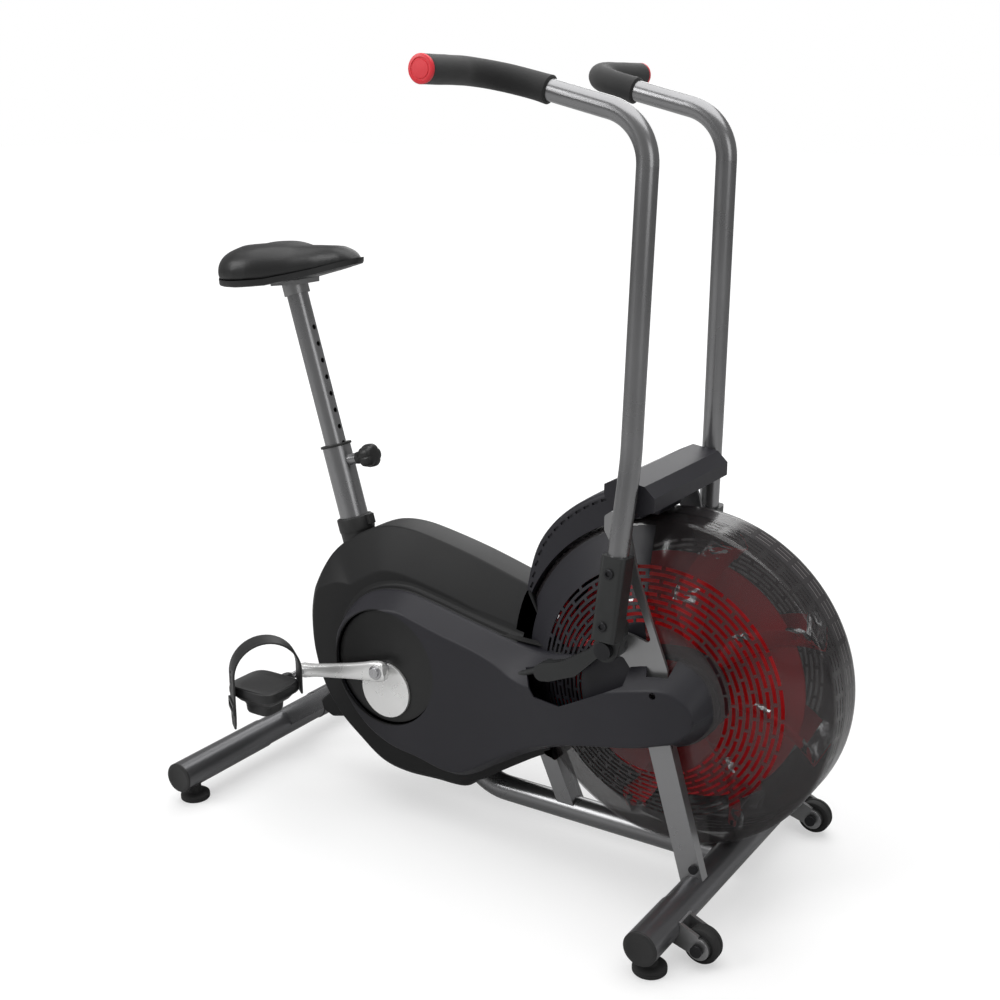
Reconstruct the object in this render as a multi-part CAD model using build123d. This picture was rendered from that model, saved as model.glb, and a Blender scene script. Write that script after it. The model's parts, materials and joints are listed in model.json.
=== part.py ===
from build123d import *
import os
from math import atan2, cos, degrees, hypot, radians, sin, tan

# Air bike, millimetres. X runs forward to the fan, Y to the rider's left, Z up, floor at Z = 0.
# The layout below measures X forward from the rear stabilizer's axis.
# save() then moves every piece so that X = 0 is the middle of the whole bike's length.
BIKE_MIDDLE_X = 502.5

# Base
REAR_X = 0.0
FRONT_X = 930.0
STABILIZER_Z = 54.0
STABILIZER_R = 25.4
STABILIZER_WALL = 2.0
REAR_HALF_LENGTH = 294.0
FRONT_HALF_LENGTH = 319.0
SLEEVE_R = 26.9
SLEEVE_GAP = 0.1
REAR_SLEEVE_INNER_Y = 78.0
FRONT_SLEEVE_INNER_Y = 209.0
END_CAP_THICKNESS = 3.0
REAR_FOOT_Y = 258.0
FRONT_FOOT_Y = 286.0
FOOT_R = 26.0
FOOT_PAD_HEIGHT = 13.0
FOOT_NECK_R = 11.0

# Main beam and inner frame
BEAM_R = 22.0
BEAM_Z = 48.0
BEAM_BEND_X = 455.0
TUBE_WALL = 2.5
MAST_R = 25.4
MAST_TOP_X, MAST_TOP_Z = 141.5, 619.0
MAST_FOOT_Z = 170.0
MAST_LEAN = tan(radians(16.2))
NECK_WIDTH, NECK_HEIGHT = 44.0, 34.0
STRUT_WIDTH, STRUT_DEPTH = 36.0, 30.0

# Crank
CRANK_X, CRANK_Z = 320.0, 271.0
CRANK_LENGTH = 170.0
CRANK_DROOP = 12.0
CRANK_AXLE_R = 9.0
CRANK_AXLE_HALF = 139.0
BRACKET_R = 23.0
BRACKET_HALF = 40.0
CRANK_BEARING_R = 17.5
CRANK_BEARING_Y = 32.0
BEARING_WIDTH = 12.0
DISC_R = 102.0
DISC_Y = 97.0
DISC_THICKNESS = 4.0
ECCENTRIC_R = 50.0
ECCENTRIC_DROP = 42.0
ECCENTRIC_THICKNESS = 5.0
ARM_Y = 118.0
ARM_THICKNESS = 15.0
PEDAL_Y = 230.0
PEDAL_WIDTH = 92.0
PEDAL_SIDE = [
    (-52, -3), (-44, 9), (-12, 15), (12, 15), (44, 9), (52, -3), (42, -12), (32, -38), (-24, -38), (-34, -12),
]
PEDAL_TOP = 12.0
SPINDLE_R = 6.0
STRAP_WIDTH = 42.0
STRAP_THICKNESS = 3.0
STRAP_RISE = 24.0
STRAP_TAIL = 58.0
# The strap leans across the foot, from the outer rear to the inner front of the pedal.
STRAP_REACH_X, STRAP_REACH_Y = 35.0, 46.0
STRAP_SHIFT = 11.0

# Belt drive
BELT_Y = -70.0
BELT_WIDTH = 12.0
BELT_THICKNESS = 3.0
DRIVE_PULLEY_R = 96.0
FAN_PULLEY_R = 24.0

# Fan and its cage
FAN_X, FAN_Z = 832.5, 338.0
FAN_AXLE_R = 6.0
FAN_AXLE_HALF = 145.0
HUB_R = 24.0
HUB_HALF = 62.0
FAN_BEARING_R = 16.0
FAN_BEARING_Y = 46.0
RUNNING_GAP = 0.05
BLADE_COUNT = 8
BLADE_INNER_R = 58.0
BLADE_OUTER_R = 250.0
BLADE_HALF = 41.0
BLADE_THICKNESS = 2.0
FIRST_BLADE_ANGLE = 21.0
WEB_R = 205.0
CLIP_RADII = (147.0, 232.0)
CLIP_LENGTH = 24.0
CAGE_R = 266.0
CAGE_WALL = 3.0
CAGE_RIM_HALF = 46.0
CAGE_SHOULDER_R = 259.0
CAGE_SHOULDER_Y = 50.0
CAGE_FACE_R = 206.0
CAGE_FACE_Y = 81.0
CAGE_HUB_R = 117.0
CAGE_HUB_Y = 114.0
CAGE_BORE_R = 30.0
SLOT_ROWS = 8
SLOT_WIDTH = 5.5
SLOT_SPOKES = 12
SPOKE_WIDTH = 9.0

# Fork legs, uprights and handle pivots
LEG_Y = 132.0
LEG_THICKNESS = 18.0
LEG_DEPTH = 38.0
LEG_TOP_X, LEG_TOP_Z = 842.0, 352.0
UPRIGHT_Y = 117.0
UPRIGHT_THICKNESS = 5.5
PIVOT_X, PIVOT_Z = 776.0, 421.0
PIVOT_R = 8.0
PIVOT_HUB_R = 20.0
LEVER_INNER_Y = 124.0
LEVER_STEP_Y = 141.0
LEVER_OUTER_Y = 158.0
LEVER_PIN_X, LEVER_PIN_Z = 655.0, 350.0
LEVER_PIN_R = 5.0
LINK_R = 5.0
LINK_EYE_R = 13.0
LINK_FRONT_Y = 114.0
LINK_REAR_X, LINK_REAR_Z, LINK_REAR_Y = 432.0, 246.0, 87.0
LINK_EYE_HALF = 5.0

# Handlebars
HANDLE_R = 16.0
HANDLE_FOOT = (788.0, 171.0, 452.0)
HANDLE_KNEE = (804.0, 142.0, 716.0)
HANDLE_ELBOW = (813.0, 129.0, 1188.0)
HANDLE_CORNER = (556.0, 132.0, 1252.0)
HANDLE_END = (567.0, 313.0, 1253.0)
GRIP_START = (657.5, 130.8, 1226.7)
KNEE_BEND, ELBOW_BEND, GRIP_BEND = 420.0, 78.0, 80.0
GRIP_R = 20.0
GRIP_CAP_THICKNESS = 5.0
SOCKET_DEPTH, SOCKET_WIDTH = 40.0, 38.0
SOCKET_LOW_Z, SOCKET_TOP_Z = 445.0, 573.0

# Seat
POST_R = 19.0
POST_WALL = 2.0
POST_FOOT_Z = 412.0
POST_TOP_Z = 900.0
POST_HOLES = 7
POST_HOLE_PITCH = 30.0
POST_HOLE_R = 4.5
BUSHING_DEPTH = 90.0
BUSHING_COLLAR_R = 28.0
# Saddle outline seen from above, one side, from nose to rear.
SADDLE_PLAN = [
    (211, 0), (208, 14), (198, 24), (178, 31), (130, 41), (92, 56), (58, 76), (26, 93), (-8, 101),
    (-36, 97), (-58, 82), (-74, 60), (-87, 35), (-93.5, 15), (-93.5, 0),
]
# Saddle seen from the side as (x, z, is underside).
SADDLE_SIDE = [
    (-100, 905, True), (-60, 897, True), (0, 900, True), (90, 914, True), (215, 944, True),
    (215, 950, False), (198, 966, False), (170, 973, False), (110, 969, False), (50, 972, False),
    (0, 970, False), (-50, 958, False), (-85, 938, False), (-100, 920, False),
]
KNOB_Z = 592.0

# Covers
WALL = 3.0
BODY_HALF = 58.0
SPINE_HALF = 30.0
PANEL_INNER_Y = 58.0
PANEL_FACE_Y = 110.0
ARM_FACE_Y = 150.0
DISC_GAP = 2.5
CAGE_GAP = 1.6
PASS_GAP = 1.0

# Console
CONSOLE_HALF = 129.0

# Transport wheels
WHEEL_X, WHEEL_Y, WHEEL_Z = 986.0, 227.0, 31.5
WHEEL_R = 28.0
WHEEL_HALF = 12.0
WHEEL_AXLE_R = 4.0


def save(name, shape):
    os.makedirs("parts", exist_ok=True)
    solids = [Pos(-BIKE_MIDDLE_X, 0, 0) * solid for solid in shape.solids()]
    export_step(solids[0] if len(solids) == 1 else Compound(solids), f"parts/{name}.step")


def joined(pieces):
    """Several separate solids that share one node."""
    return Compound([solid for piece in pieces for solid in piece.solids()])


def both_sides(shape):
    """A piece on the rider's left, with its mirror image on the right."""
    return joined([shape, mirror(shape, about=Plane.XZ)])


def right_side(shape):
    return mirror(shape, about=Plane.XZ)


def rod_y(x, z, radius, y_low, y_high, bore=0.0):
    """A round bar or ring along Y."""
    section = Plane(origin=(x, y_low, z), x_dir=(1, 0, 0), z_dir=(0, 1, 0)) * Circle(radius)
    solid = extrude(section, amount=y_high - y_low)
    if bore:
        hole = Plane(origin=(x, y_low - 1, z), x_dir=(1, 0, 0), z_dir=(0, 1, 0)) * Circle(bore)
        solid -= extrude(hole, amount=y_high - y_low + 2)
    return solid


def bar(start, end, section):
    """A straight bar of a given section between two points."""
    run = Vector(*end) - Vector(*start)
    side = (0, 1, 0)
    return extrude(Plane(origin=start, x_dir=side, z_dir=run) * section, amount=run.length)


def pipe(start, end, radius, wall):
    return bar(start, end, Circle(radius) - Circle(radius - wall))


def plate(points, y_low, y_high, radius=0.0):
    """A flat plate whose outline lies in XZ, between two Y positions."""
    corners = [(x, y_low, z) for x, z in points]
    if radius:
        edge = FilletPolyline(*corners, radius=radius, close=True)
    else:
        edge = Polyline(*corners, close=True)
    return extrude(make_face(edge), amount=y_high - y_low, dir=(0, 1, 0))


def block(x_low, x_high, y_low, y_high, z_low, z_high):
    centre = ((x_low + x_high) / 2, (y_low + y_high) / 2, (z_low + z_high) / 2)
    return Pos(*centre) * Box(x_high - x_low, y_high - y_low, z_high - z_low)


def plan_prism(points, z_low, z_high):
    """A prism whose outline lies in XY."""
    face = make_face(Polyline(*[(x, y, z_low) for x, y in points], close=True))
    return extrude(face, amount=z_high - z_low, dir=(0, 0, 1))


def mast_x(z):
    """X of the seat mast's axis at a height."""
    return MAST_TOP_X + (MAST_TOP_Z - z) * MAST_LEAN


def mast_point(z):
    return (mast_x(z), 0, z)


# ---- Base ----

def stabilizer(x, half_length):
    return rod_y(x, STABILIZER_Z, STABILIZER_R, -half_length, half_length, STABILIZER_R - STABILIZER_WALL)


def sleeve(x, inner_y, half_length):
    return rod_y(x, STABILIZER_Z, SLEEVE_R, inner_y, half_length, STABILIZER_R + SLEEVE_GAP)


def end_cap(x, half_length):
    flange = rod_y(x, STABILIZER_Z, SLEEVE_R, half_length, half_length + END_CAP_THICKNESS)
    plug_r = STABILIZER_R - STABILIZER_WALL - SLEEVE_GAP
    return flange + rod_y(x, STABILIZER_Z, plug_r, half_length - 12, half_length + 1)


def foot(x, y):
    pad = Pos(x, y, FOOT_PAD_HEIGHT / 2) * Cylinder(FOOT_R, FOOT_PAD_HEIGHT)
    pad = fillet(pad.edges().sort_by(Axis.Z)[-1], 4)
    upward = (Align.CENTER, Align.CENTER, Align.MIN)
    neck = Pos(x, y, FOOT_PAD_HEIGHT) * Cylinder(FOOT_NECK_R, 30, align=upward)
    return pad + neck - rod_y(x, STABILIZER_Z, SLEEVE_R, y - 40, y + 40)


def base_parts():
    save("rear_stabilizer", stabilizer(REAR_X, REAR_HALF_LENGTH))
    save("front_stabilizer", stabilizer(FRONT_X, FRONT_HALF_LENGTH))
    sleeves = [
        sleeve(REAR_X, REAR_SLEEVE_INNER_Y, REAR_HALF_LENGTH),
        sleeve(FRONT_X, FRONT_SLEEVE_INNER_Y, FRONT_HALF_LENGTH),
    ]
    save("stabilizer_sleeves", joined(both_sides(one) for one in sleeves))
    caps = [end_cap(REAR_X, REAR_HALF_LENGTH), end_cap(FRONT_X, FRONT_HALF_LENGTH)]
    save("stabilizer_end_caps", joined(both_sides(one) for one in caps))
    feet = [foot(REAR_X, REAR_FOOT_Y), foot(FRONT_X, FRONT_FOOT_Y)]
    save("rubber_feet", joined(both_sides(one) for one in feet))


# ---- Inner frame ----

def stabilizer_core(x):
    return rod_y(x, STABILIZER_Z, STABILIZER_R, -60, 60)


def bottom_bracket_core():
    return rod_y(CRANK_X, CRANK_Z, BRACKET_R, -BRACKET_HALF, BRACKET_HALF)


def main_beam(wall=TUBE_WALL, extra=0.0):
    """The beam runs back from the front stabilizer and rises to the crank's bracket."""
    path = FilletPolyline(
        (FRONT_X, 0, BEAM_Z),
        (BEAM_BEND_X, 0, BEAM_Z),
        (CRANK_X, 0, CRANK_Z),
        radius=90,
    )
    radius = BEAM_R + extra
    section = Circle(radius) - Circle(BEAM_R - wall) if wall else Circle(radius)
    beam = sweep(Plane(origin=path @ 0, z_dir=path % 0) * section, path=path)
    return beam


def mast_tube(radius=MAST_R, wall=TUBE_WALL):
    section = Circle(radius) - Circle(radius - wall) if wall else Circle(radius)
    return bar(mast_point(MAST_FOOT_Z), mast_point(MAST_TOP_Z), section)


def rear_neck(extra=0.0, wall=TUBE_WALL):
    outer = Rectangle(NECK_WIDTH + 2 * extra, NECK_HEIGHT + 2 * extra)
    if wall:
        outer -= Rectangle(NECK_WIDTH - 2 * wall, NECK_HEIGHT - 2 * wall)
    return bar((REAR_X, 0, STABILIZER_Z + 6), (mast_x(228), 0, 228), outer)


def front_strut(extra=0.0, wall=TUBE_WALL):
    outer = Rectangle(STRUT_WIDTH + 2 * extra, STRUT_DEPTH + 2 * extra)
    if wall:
        outer -= Rectangle(STRUT_WIDTH - 2 * wall, STRUT_DEPTH - 2 * wall)
    return bar((636, 0, BEAM_Z + 4), (514, 0, 330), outer)


def pop_pin_axis():
    """Start and direction of the adjuster, square to the mast."""
    lean = atan2(MAST_LEAN, 1)
    return Vector(mast_x(KNOB_Z), 0, KNOB_Z), Vector(cos(lean), 0, sin(lean))


def pop_pin_part(near, far, radius, bore=0.0):
    start, way = pop_pin_axis()
    section = Circle(radius) - Circle(bore) if bore else Circle(radius)
    return extrude(Plane(origin=start + way * near, z_dir=way) * section, amount=far - near)


def frame_parts():
    beam = main_beam() - stabilizer_core(FRONT_X) - bottom_bracket_core()
    save("main_beam", beam)

    boss = pop_pin_part(MAST_R - 3, MAST_R + 16, 10, 5.2)
    mast = mast_tube() + boss - mast_tube(MAST_R - TUBE_WALL, 0) - pop_pin_part(10, MAST_R + 17, 5.2)
    save("seat_mast", mast)
    save("rear_neck", rear_neck() - stabilizer_core(REAR_X) - mast_tube(MAST_R, 0))

    arm = bar((mast_x(CRANK_Z) + 5, 0, CRANK_Z), (CRANK_X, 0, CRANK_Z), Rectangle(40, 34))
    shell = bottom_bracket_core() + (arm - mast_tube(MAST_R, 0))
    shell -= rod_y(CRANK_X, CRANK_Z, CRANK_BEARING_R, -BRACKET_HALF - 1, BRACKET_HALF + 1)
    save("bottom_bracket", shell)

    save("front_strut", front_strut() - main_beam(0))

    crank_bearing = rod_y(
        CRANK_X, CRANK_Z, CRANK_BEARING_R,
        CRANK_BEARING_Y - BEARING_WIDTH / 2, CRANK_BEARING_Y + BEARING_WIDTH / 2,
        CRANK_AXLE_R + RUNNING_GAP,
    )
    fan_bearing = rod_y(
        FAN_X, FAN_Z, FAN_BEARING_R,
        FAN_BEARING_Y - BEARING_WIDTH / 2, FAN_BEARING_Y + BEARING_WIDTH / 2,
        FAN_AXLE_R,
    )
    save("bearings", joined([both_sides(crank_bearing), both_sides(fan_bearing)]))

    collar = bar(mast_point(MAST_TOP_Z), mast_point(MAST_TOP_Z + 4), Circle(BUSHING_COLLAR_R))
    bush = bar(mast_point(MAST_TOP_Z - BUSHING_DEPTH), mast_point(MAST_TOP_Z), Circle(MAST_R - TUBE_WALL))
    bore_foot = mast_point(MAST_TOP_Z - BUSHING_DEPTH - 5)
    bore = bar(bore_foot, mast_point(MAST_TOP_Z + 20), Circle(POST_R + RUNNING_GAP))
    save("mast_bushing", collar + bush - bore - pop_pin_part(10, MAST_R + 17, 5.2))


# ---- Fork, uprights and fan axle ----

def leg_outline(grow=0.0):
    foot_x = FRONT_X
    lean = atan2(foot_x - LEG_TOP_X, LEG_TOP_Z - STABILIZER_Z)
    half = (LEG_DEPTH / 2 + grow) / cos(lean)
    return [
        (foot_x - half, STABILIZER_Z),
        (foot_x + half, STABILIZER_Z),
        (LEG_TOP_X + half, LEG_TOP_Z),
        (LEG_TOP_X - half, LEG_TOP_Z),
    ]


UPRIGHT_OUTLINE = [
    (818, 318), (856, 318), (866, 372), (864, 394), (834, 469), (809, 538), (796, 596), (786, 620),
    (764, 627), (752, 618), (752, 596), (776, 556), (796, 530), (822, 469), (838, 430), (806, 438),
    (782, 442), (764, 438), (754, 421), (764, 402), (790, 400), (812, 372),
]


def fork_parts():
    inner, outer = LEG_Y - LEG_THICKNESS / 2, LEG_Y + LEG_THICKNESS / 2
    axle_hole = rod_y(FAN_X, FAN_Z, FAN_AXLE_R, 90, 160)
    leg = plate(leg_outline(), inner, outer) - plate(leg_outline(-2.5), inner + 2.5, outer - 2.5)
    leg = leg - rod_y(FRONT_X, STABILIZER_Z, STABILIZER_R, inner - 5, outer + 5) - axle_hole
    save("fork_legs", both_sides(leg))

    upright = plate(UPRIGHT_OUTLINE, UPRIGHT_Y, UPRIGHT_Y + UPRIGHT_THICKNESS, 6)
    upright = upright - axle_hole - rod_y(PIVOT_X, PIVOT_Z, PIVOT_R, 100, 170)
    save("upright_plates", both_sides(upright))

    save("fan_axle", rod_y(FAN_X, FAN_Z, FAN_AXLE_R, -FAN_AXLE_HALF, FAN_AXLE_HALF))

    pivot_bolt = rod_y(PIVOT_X, PIVOT_Z, PIVOT_R, UPRIGHT_Y, LEVER_OUTER_Y + 2)
    pivot_bolt += rod_y(PIVOT_X, PIVOT_Z, 14, LEVER_OUTER_Y + 2, LEVER_OUTER_Y + 9)

    axle_nut = rod_y(FAN_X, FAN_Z, 10, outer, outer + 5, FAN_AXLE_R)
    leg_bolt = rod_y(FRONT_X - 2, STABILIZER_Z + 38, 7, outer, outer + 5)
    wheel_bolt = rod_y(WHEEL_X, WHEEL_Z, WHEEL_AXLE_R, WHEEL_Y - 21, WHEEL_Y + 21)
    wheel_bolt += rod_y(WHEEL_X, WHEEL_Z, 9, WHEEL_Y + 21, WHEEL_Y + 27)
    wheel_bolt += rod_y(WHEEL_X, WHEEL_Z, 9, WHEEL_Y - 27, WHEEL_Y - 21)
    save("frame_bolts", joined(both_sides(one) for one in (pivot_bolt, axle_nut, leg_bolt, wheel_bolt)))


# ---- Fan cage and fan ----

def cage_profile(shrink):
    """Half section of the cage as (radius, side) points, from the rim's middle to the bore."""
    return [
        (CAGE_R - shrink, -1 if shrink else 0),
        (CAGE_R - shrink, CAGE_RIM_HALF - shrink / 2),
        (CAGE_SHOULDER_R - shrink / 2, CAGE_SHOULDER_Y - shrink),
        (CAGE_FACE_R, CAGE_FACE_Y - shrink),
        (CAGE_HUB_R, CAGE_HUB_Y - shrink),
        (CAGE_BORE_R, CAGE_HUB_Y - shrink),
        (CAGE_BORE_R, -1 if shrink else 0),
    ]


def fan_revolve(points):
    corners = [(FAN_X, y, FAN_Z + r) for r, y in points]
    face = make_face(Polyline(*corners, close=True))
    return revolve(face, Axis((FAN_X, 0, FAN_Z), (0, 1, 0)), 360)


def fan_spokes(width, inner_r, outer_r, count, phase=0.0):
    """Radial boxes about the fan's axis, for cutting or keeping bridges."""
    spokes = []
    for step in range(count):
        angle = phase + step * 360 / count
        box = Box(outer_r - inner_r, 300, width)
        spokes.append(Pos(FAN_X, 0, FAN_Z) * Rot(0, angle, 0) * Pos((inner_r + outer_r) / 2, 0, 0) * box)
    return spokes


def cage_half():
    shell = fan_revolve(cage_profile(0)) - fan_revolve(cage_profile(CAGE_WALL))
    pitch = (CAGE_FACE_R - CAGE_HUB_R) / SLOT_ROWS
    rings = []
    for row in range(SLOT_ROWS):
        inner = CAGE_HUB_R + (row + 0.5) * pitch - SLOT_WIDTH / 2
        rings.append(rod_y(FAN_X, FAN_Z, inner + SLOT_WIDTH, 60, 130, inner))
    rim_slots = [
        rod_y(FAN_X, FAN_Z, CAGE_R + 5, side, side + 7, CAGE_R - 12) for side in (8.0, 24.0)
    ]
    cutter = rings[0]
    cutter = cutter.fuse(*rings[1:], *rim_slots)
    cutter = cutter.cut(*fan_spokes(SPOKE_WIDTH, 100, 290, SLOT_SPOKES))
    return shell.cut(cutter)


def belt_angle():
    return atan2(FAN_Z - CRANK_Z, FAN_X - CRANK_X)


def belt_slot():
    """Slot in the cage's shoulder for the belt, hidden by the arm cover."""
    lean = degrees(belt_angle())
    slot = Box(62, 40, 130)
    return Pos(FAN_X, BELT_Y, FAN_Z) * Rot(0, -lean, 0) * Pos(-(CAGE_SHOULDER_R - 30), 0, 0) * slot


def clip_solids():
    """Bright clips folded over the blades, two on each blade."""
    clips = []
    for step in range(BLADE_COUNT):
        angle = FIRST_BLADE_ANGLE + step * 360 / BLADE_COUNT
        for radius in CLIP_RADII:
            clip = Box(CLIP_LENGTH, 2 * BLADE_HALF + 6, 8)
            clip -= Box(CLIP_LENGTH + 2, 2 * BLADE_HALF, BLADE_THICKNESS)
            clips.append(Pos(FAN_X, 0, FAN_Z) * Rot(0, -angle, 0) * Pos(radius, 0, 0) * clip)
    return clips


def fan_parts():
    half = cage_half()
    save("cage_left", half)
    save("cage_right", right_side(half) - belt_slot())

    hub = rod_y(FAN_X, FAN_Z, HUB_R, -HUB_HALF, HUB_HALF, FAN_AXLE_R + 1.5)
    for side in (-1, 1):
        low = min(side * (FAN_BEARING_Y - BEARING_WIDTH / 2 - 0.5), side * (HUB_HALF + 1))
        high = max(side * (FAN_BEARING_Y - BEARING_WIDTH / 2 - 0.5), side * (HUB_HALF + 1))
        hub -= rod_y(FAN_X, FAN_Z, FAN_BEARING_R + RUNNING_GAP, low, high)
    save("fan_hub", hub)

    pulley_low, pulley_high = BELT_Y - BELT_WIDTH / 2 - 2, -HUB_HALF
    save("fan_pulley", rod_y(FAN_X, FAN_Z, FAN_PULLEY_R, pulley_low, pulley_high, FAN_BEARING_R + 1))

    wheel = rod_y(FAN_X, FAN_Z, WEB_R, -1, 1, HUB_R)
    blade_length = BLADE_OUTER_R - BLADE_INNER_R
    middle = (BLADE_OUTER_R + BLADE_INNER_R) / 2
    for step in range(BLADE_COUNT):
        angle = FIRST_BLADE_ANGLE + step * 360 / BLADE_COUNT
        blade = Box(blade_length, 2 * BLADE_HALF, BLADE_THICKNESS)
        wheel += Pos(FAN_X, 0, FAN_Z) * Rot(0, -angle, 0) * Pos(middle, 0, 0) * blade
    clips = clip_solids()
    save("fan_blades", wheel)
    save("blade_clips", joined(clip - rod_y(FAN_X, FAN_Z, WEB_R, -1, 1) for clip in clips))


# ---- Crank, pedals and belt ----

def pedal_centre():
    droop = radians(CRANK_DROOP)
    return CRANK_X - CRANK_LENGTH * cos(droop), CRANK_Z - CRANK_LENGTH * sin(droop)


def half_turn(shape):
    """The right side's piece, turned half a turn about the crank's axis for the left side."""
    turned = mirror(shape, about=Plane.XZ)
    return Pos(CRANK_X, 0, CRANK_Z) * Rot(0, 180, 0) * Pos(-CRANK_X, 0, -CRANK_Z) * turned


def crank_arm():
    """The rider's right crank arm, pointing rearward and a little down."""
    end_x, end_z = pedal_centre()
    low, high = -ARM_Y - ARM_THICKNESS, -ARM_Y
    arm = rod_y(CRANK_X, CRANK_Z, 20, low, high) + rod_y(end_x, end_z, 14, low, high)
    ux, uz = (end_x - CRANK_X) / CRANK_LENGTH, (end_z - CRANK_Z) / CRANK_LENGTH
    arm += plate(
        [
            (CRANK_X - uz * 15, CRANK_Z + ux * 15),
            (end_x - uz * 11, end_z + ux * 11),
            (end_x + uz * 11, end_z - ux * 11),
            (CRANK_X + uz * 15, CRANK_Z - ux * 15),
        ],
        low, high,
    )
    arm -= rod_y(CRANK_X, CRANK_Z, CRANK_AXLE_R, low - 1, high + 1)
    spindle = rod_y(end_x, end_z, SPINDLE_R, -PEDAL_Y - PEDAL_WIDTH / 2 + 6, low + 6)
    return arm - rod_y(end_x, end_z, SPINDLE_R, low - 1, low + 6), spindle


def pedal_right():
    """Platform pedal with a weighted underside and a bore for its spindle."""
    x, z = pedal_centre()
    low, high = -PEDAL_Y - PEDAL_WIDTH / 2, -PEDAL_Y + PEDAL_WIDTH / 2
    body = plate([(x + dx, z + dz) for dx, dz in PEDAL_SIDE], low, high)
    neck = rod_y(x, z, 11, high, high + 30)
    return body + neck - rod_y(x, z, SPINDLE_R + RUNNING_GAP, low + 4, high + 40)


def strap_right():
    """Flat strap arched over the foot, its tail hanging below the outer side."""
    x, z = pedal_centre()
    spring = z + PEDAL_TOP + STRAP_RISE
    across = Vector(STRAP_REACH_X, STRAP_REACH_Y, 0)
    centre = Vector(x + STRAP_SHIFT, -PEDAL_Y, 0)
    outer, inner = centre - across, centre + across
    top = centre + Vector(0, 0, spring + across.length)
    up = Vector(0, 0, 1)
    rise = Line(outer + up * (z - STRAP_TAIL), outer + up * spring)
    arch = ThreePointArc(outer + up * spring, top, inner + up * spring)
    fall = Line(inner + up * spring, inner + up * (z - 8))
    path = Wire([*rise.edges(), *arch.edges(), *fall.edges()])
    width_way = across.cross(up)
    section = Plane(origin=path @ 0, x_dir=width_way, z_dir=path % 0) * Rectangle(STRAP_WIDTH, STRAP_THICKNESS)
    return sweep(section, path=path)


def belt_loop(radius_offset, y_low, y_high):
    """Solid stadium around both pulleys."""
    big, small = DRIVE_PULLEY_R + radius_offset, FAN_PULLEY_R + radius_offset
    reach = hypot(FAN_X - CRANK_X, FAN_Z - CRANK_Z)
    lean = belt_angle()
    spread = atan2((big - small), (reach ** 2 - (big - small) ** 2) ** 0.5)
    points = []
    for x, z, r, side in ((CRANK_X, CRANK_Z, big, 1), (FAN_X, FAN_Z, small, 1), (FAN_X, FAN_Z, small, -1),
                          (CRANK_X, CRANK_Z, big, -1)):
        angle = lean + side * (radians(90) - spread)
        points.append((x + r * cos(angle), z + r * sin(angle)))
    solid = plate(points, y_low, y_high)
    solid += rod_y(CRANK_X, CRANK_Z, big, y_low, y_high)
    return solid + rod_y(FAN_X, FAN_Z, small, y_low, y_high)


def crank_parts():
    save("crank_axle", rod_y(CRANK_X, CRANK_Z, CRANK_AXLE_R, -CRANK_AXLE_HALF, CRANK_AXLE_HALF))
    save("drive_pulley", rod_y(
        CRANK_X, CRANK_Z, DRIVE_PULLEY_R, BELT_Y - BELT_WIDTH / 2, BELT_Y + BELT_WIDTH / 2, CRANK_AXLE_R))
    disc = rod_y(CRANK_X, CRANK_Z, DISC_R, -DISC_Y - DISC_THICKNESS, -DISC_Y, CRANK_AXLE_R)
    save("crank_discs", joined([disc, half_turn(disc)]))

    # The cap's centre is level with the crank arm's side, a little ahead of straight down.
    cap = rod_y(CRANK_X, CRANK_Z - ECCENTRIC_DROP, ECCENTRIC_R,
                -DISC_Y - DISC_THICKNESS - ECCENTRIC_THICKNESS, -DISC_Y - DISC_THICKNESS)
    cap -= rod_y(CRANK_X, CRANK_Z, CRANK_AXLE_R, -DISC_Y - 20, -DISC_Y)
    save("eccentric_caps", joined([cap, half_turn(cap)]))

    arm, spindle = crank_arm()
    save("crank_arms", joined([arm, half_turn(arm)]))
    save("pedal_spindles", joined([spindle, half_turn(spindle)]))

    pedal = pedal_right()
    strap = strap_right() - pedal
    strap = strap.solids().sort_by(SortBy.VOLUME)[-1]
    px, pz = pedal_centre()
    move = Pos(2 * (CRANK_X - px), 0, 2 * (CRANK_Z - pz))
    save("pedal_right", pedal)
    save("pedal_strap_right", strap)
    save("pedal_left", move * mirror(pedal, about=Plane.XZ))
    save("pedal_strap_left", move * mirror(strap, about=Plane.XZ))

    belt = belt_loop(BELT_THICKNESS, BELT_Y - BELT_WIDTH / 2, BELT_Y + BELT_WIDTH / 2)
    belt -= belt_loop(0.4, BELT_Y - BELT_WIDTH, BELT_Y + BELT_WIDTH)
    save("drive_belt", belt)


# ---- Handles and links ----

def handle_path(points, radii):
    return FilletPolyline(*points, radius=radii)


def swept_round(path, outer, inner=0.0):
    section = Circle(outer) - Circle(inner) if inner else Circle(outer)
    return sweep(Plane(origin=path @ 0, z_dir=path % 0) * section, path=path)


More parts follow.
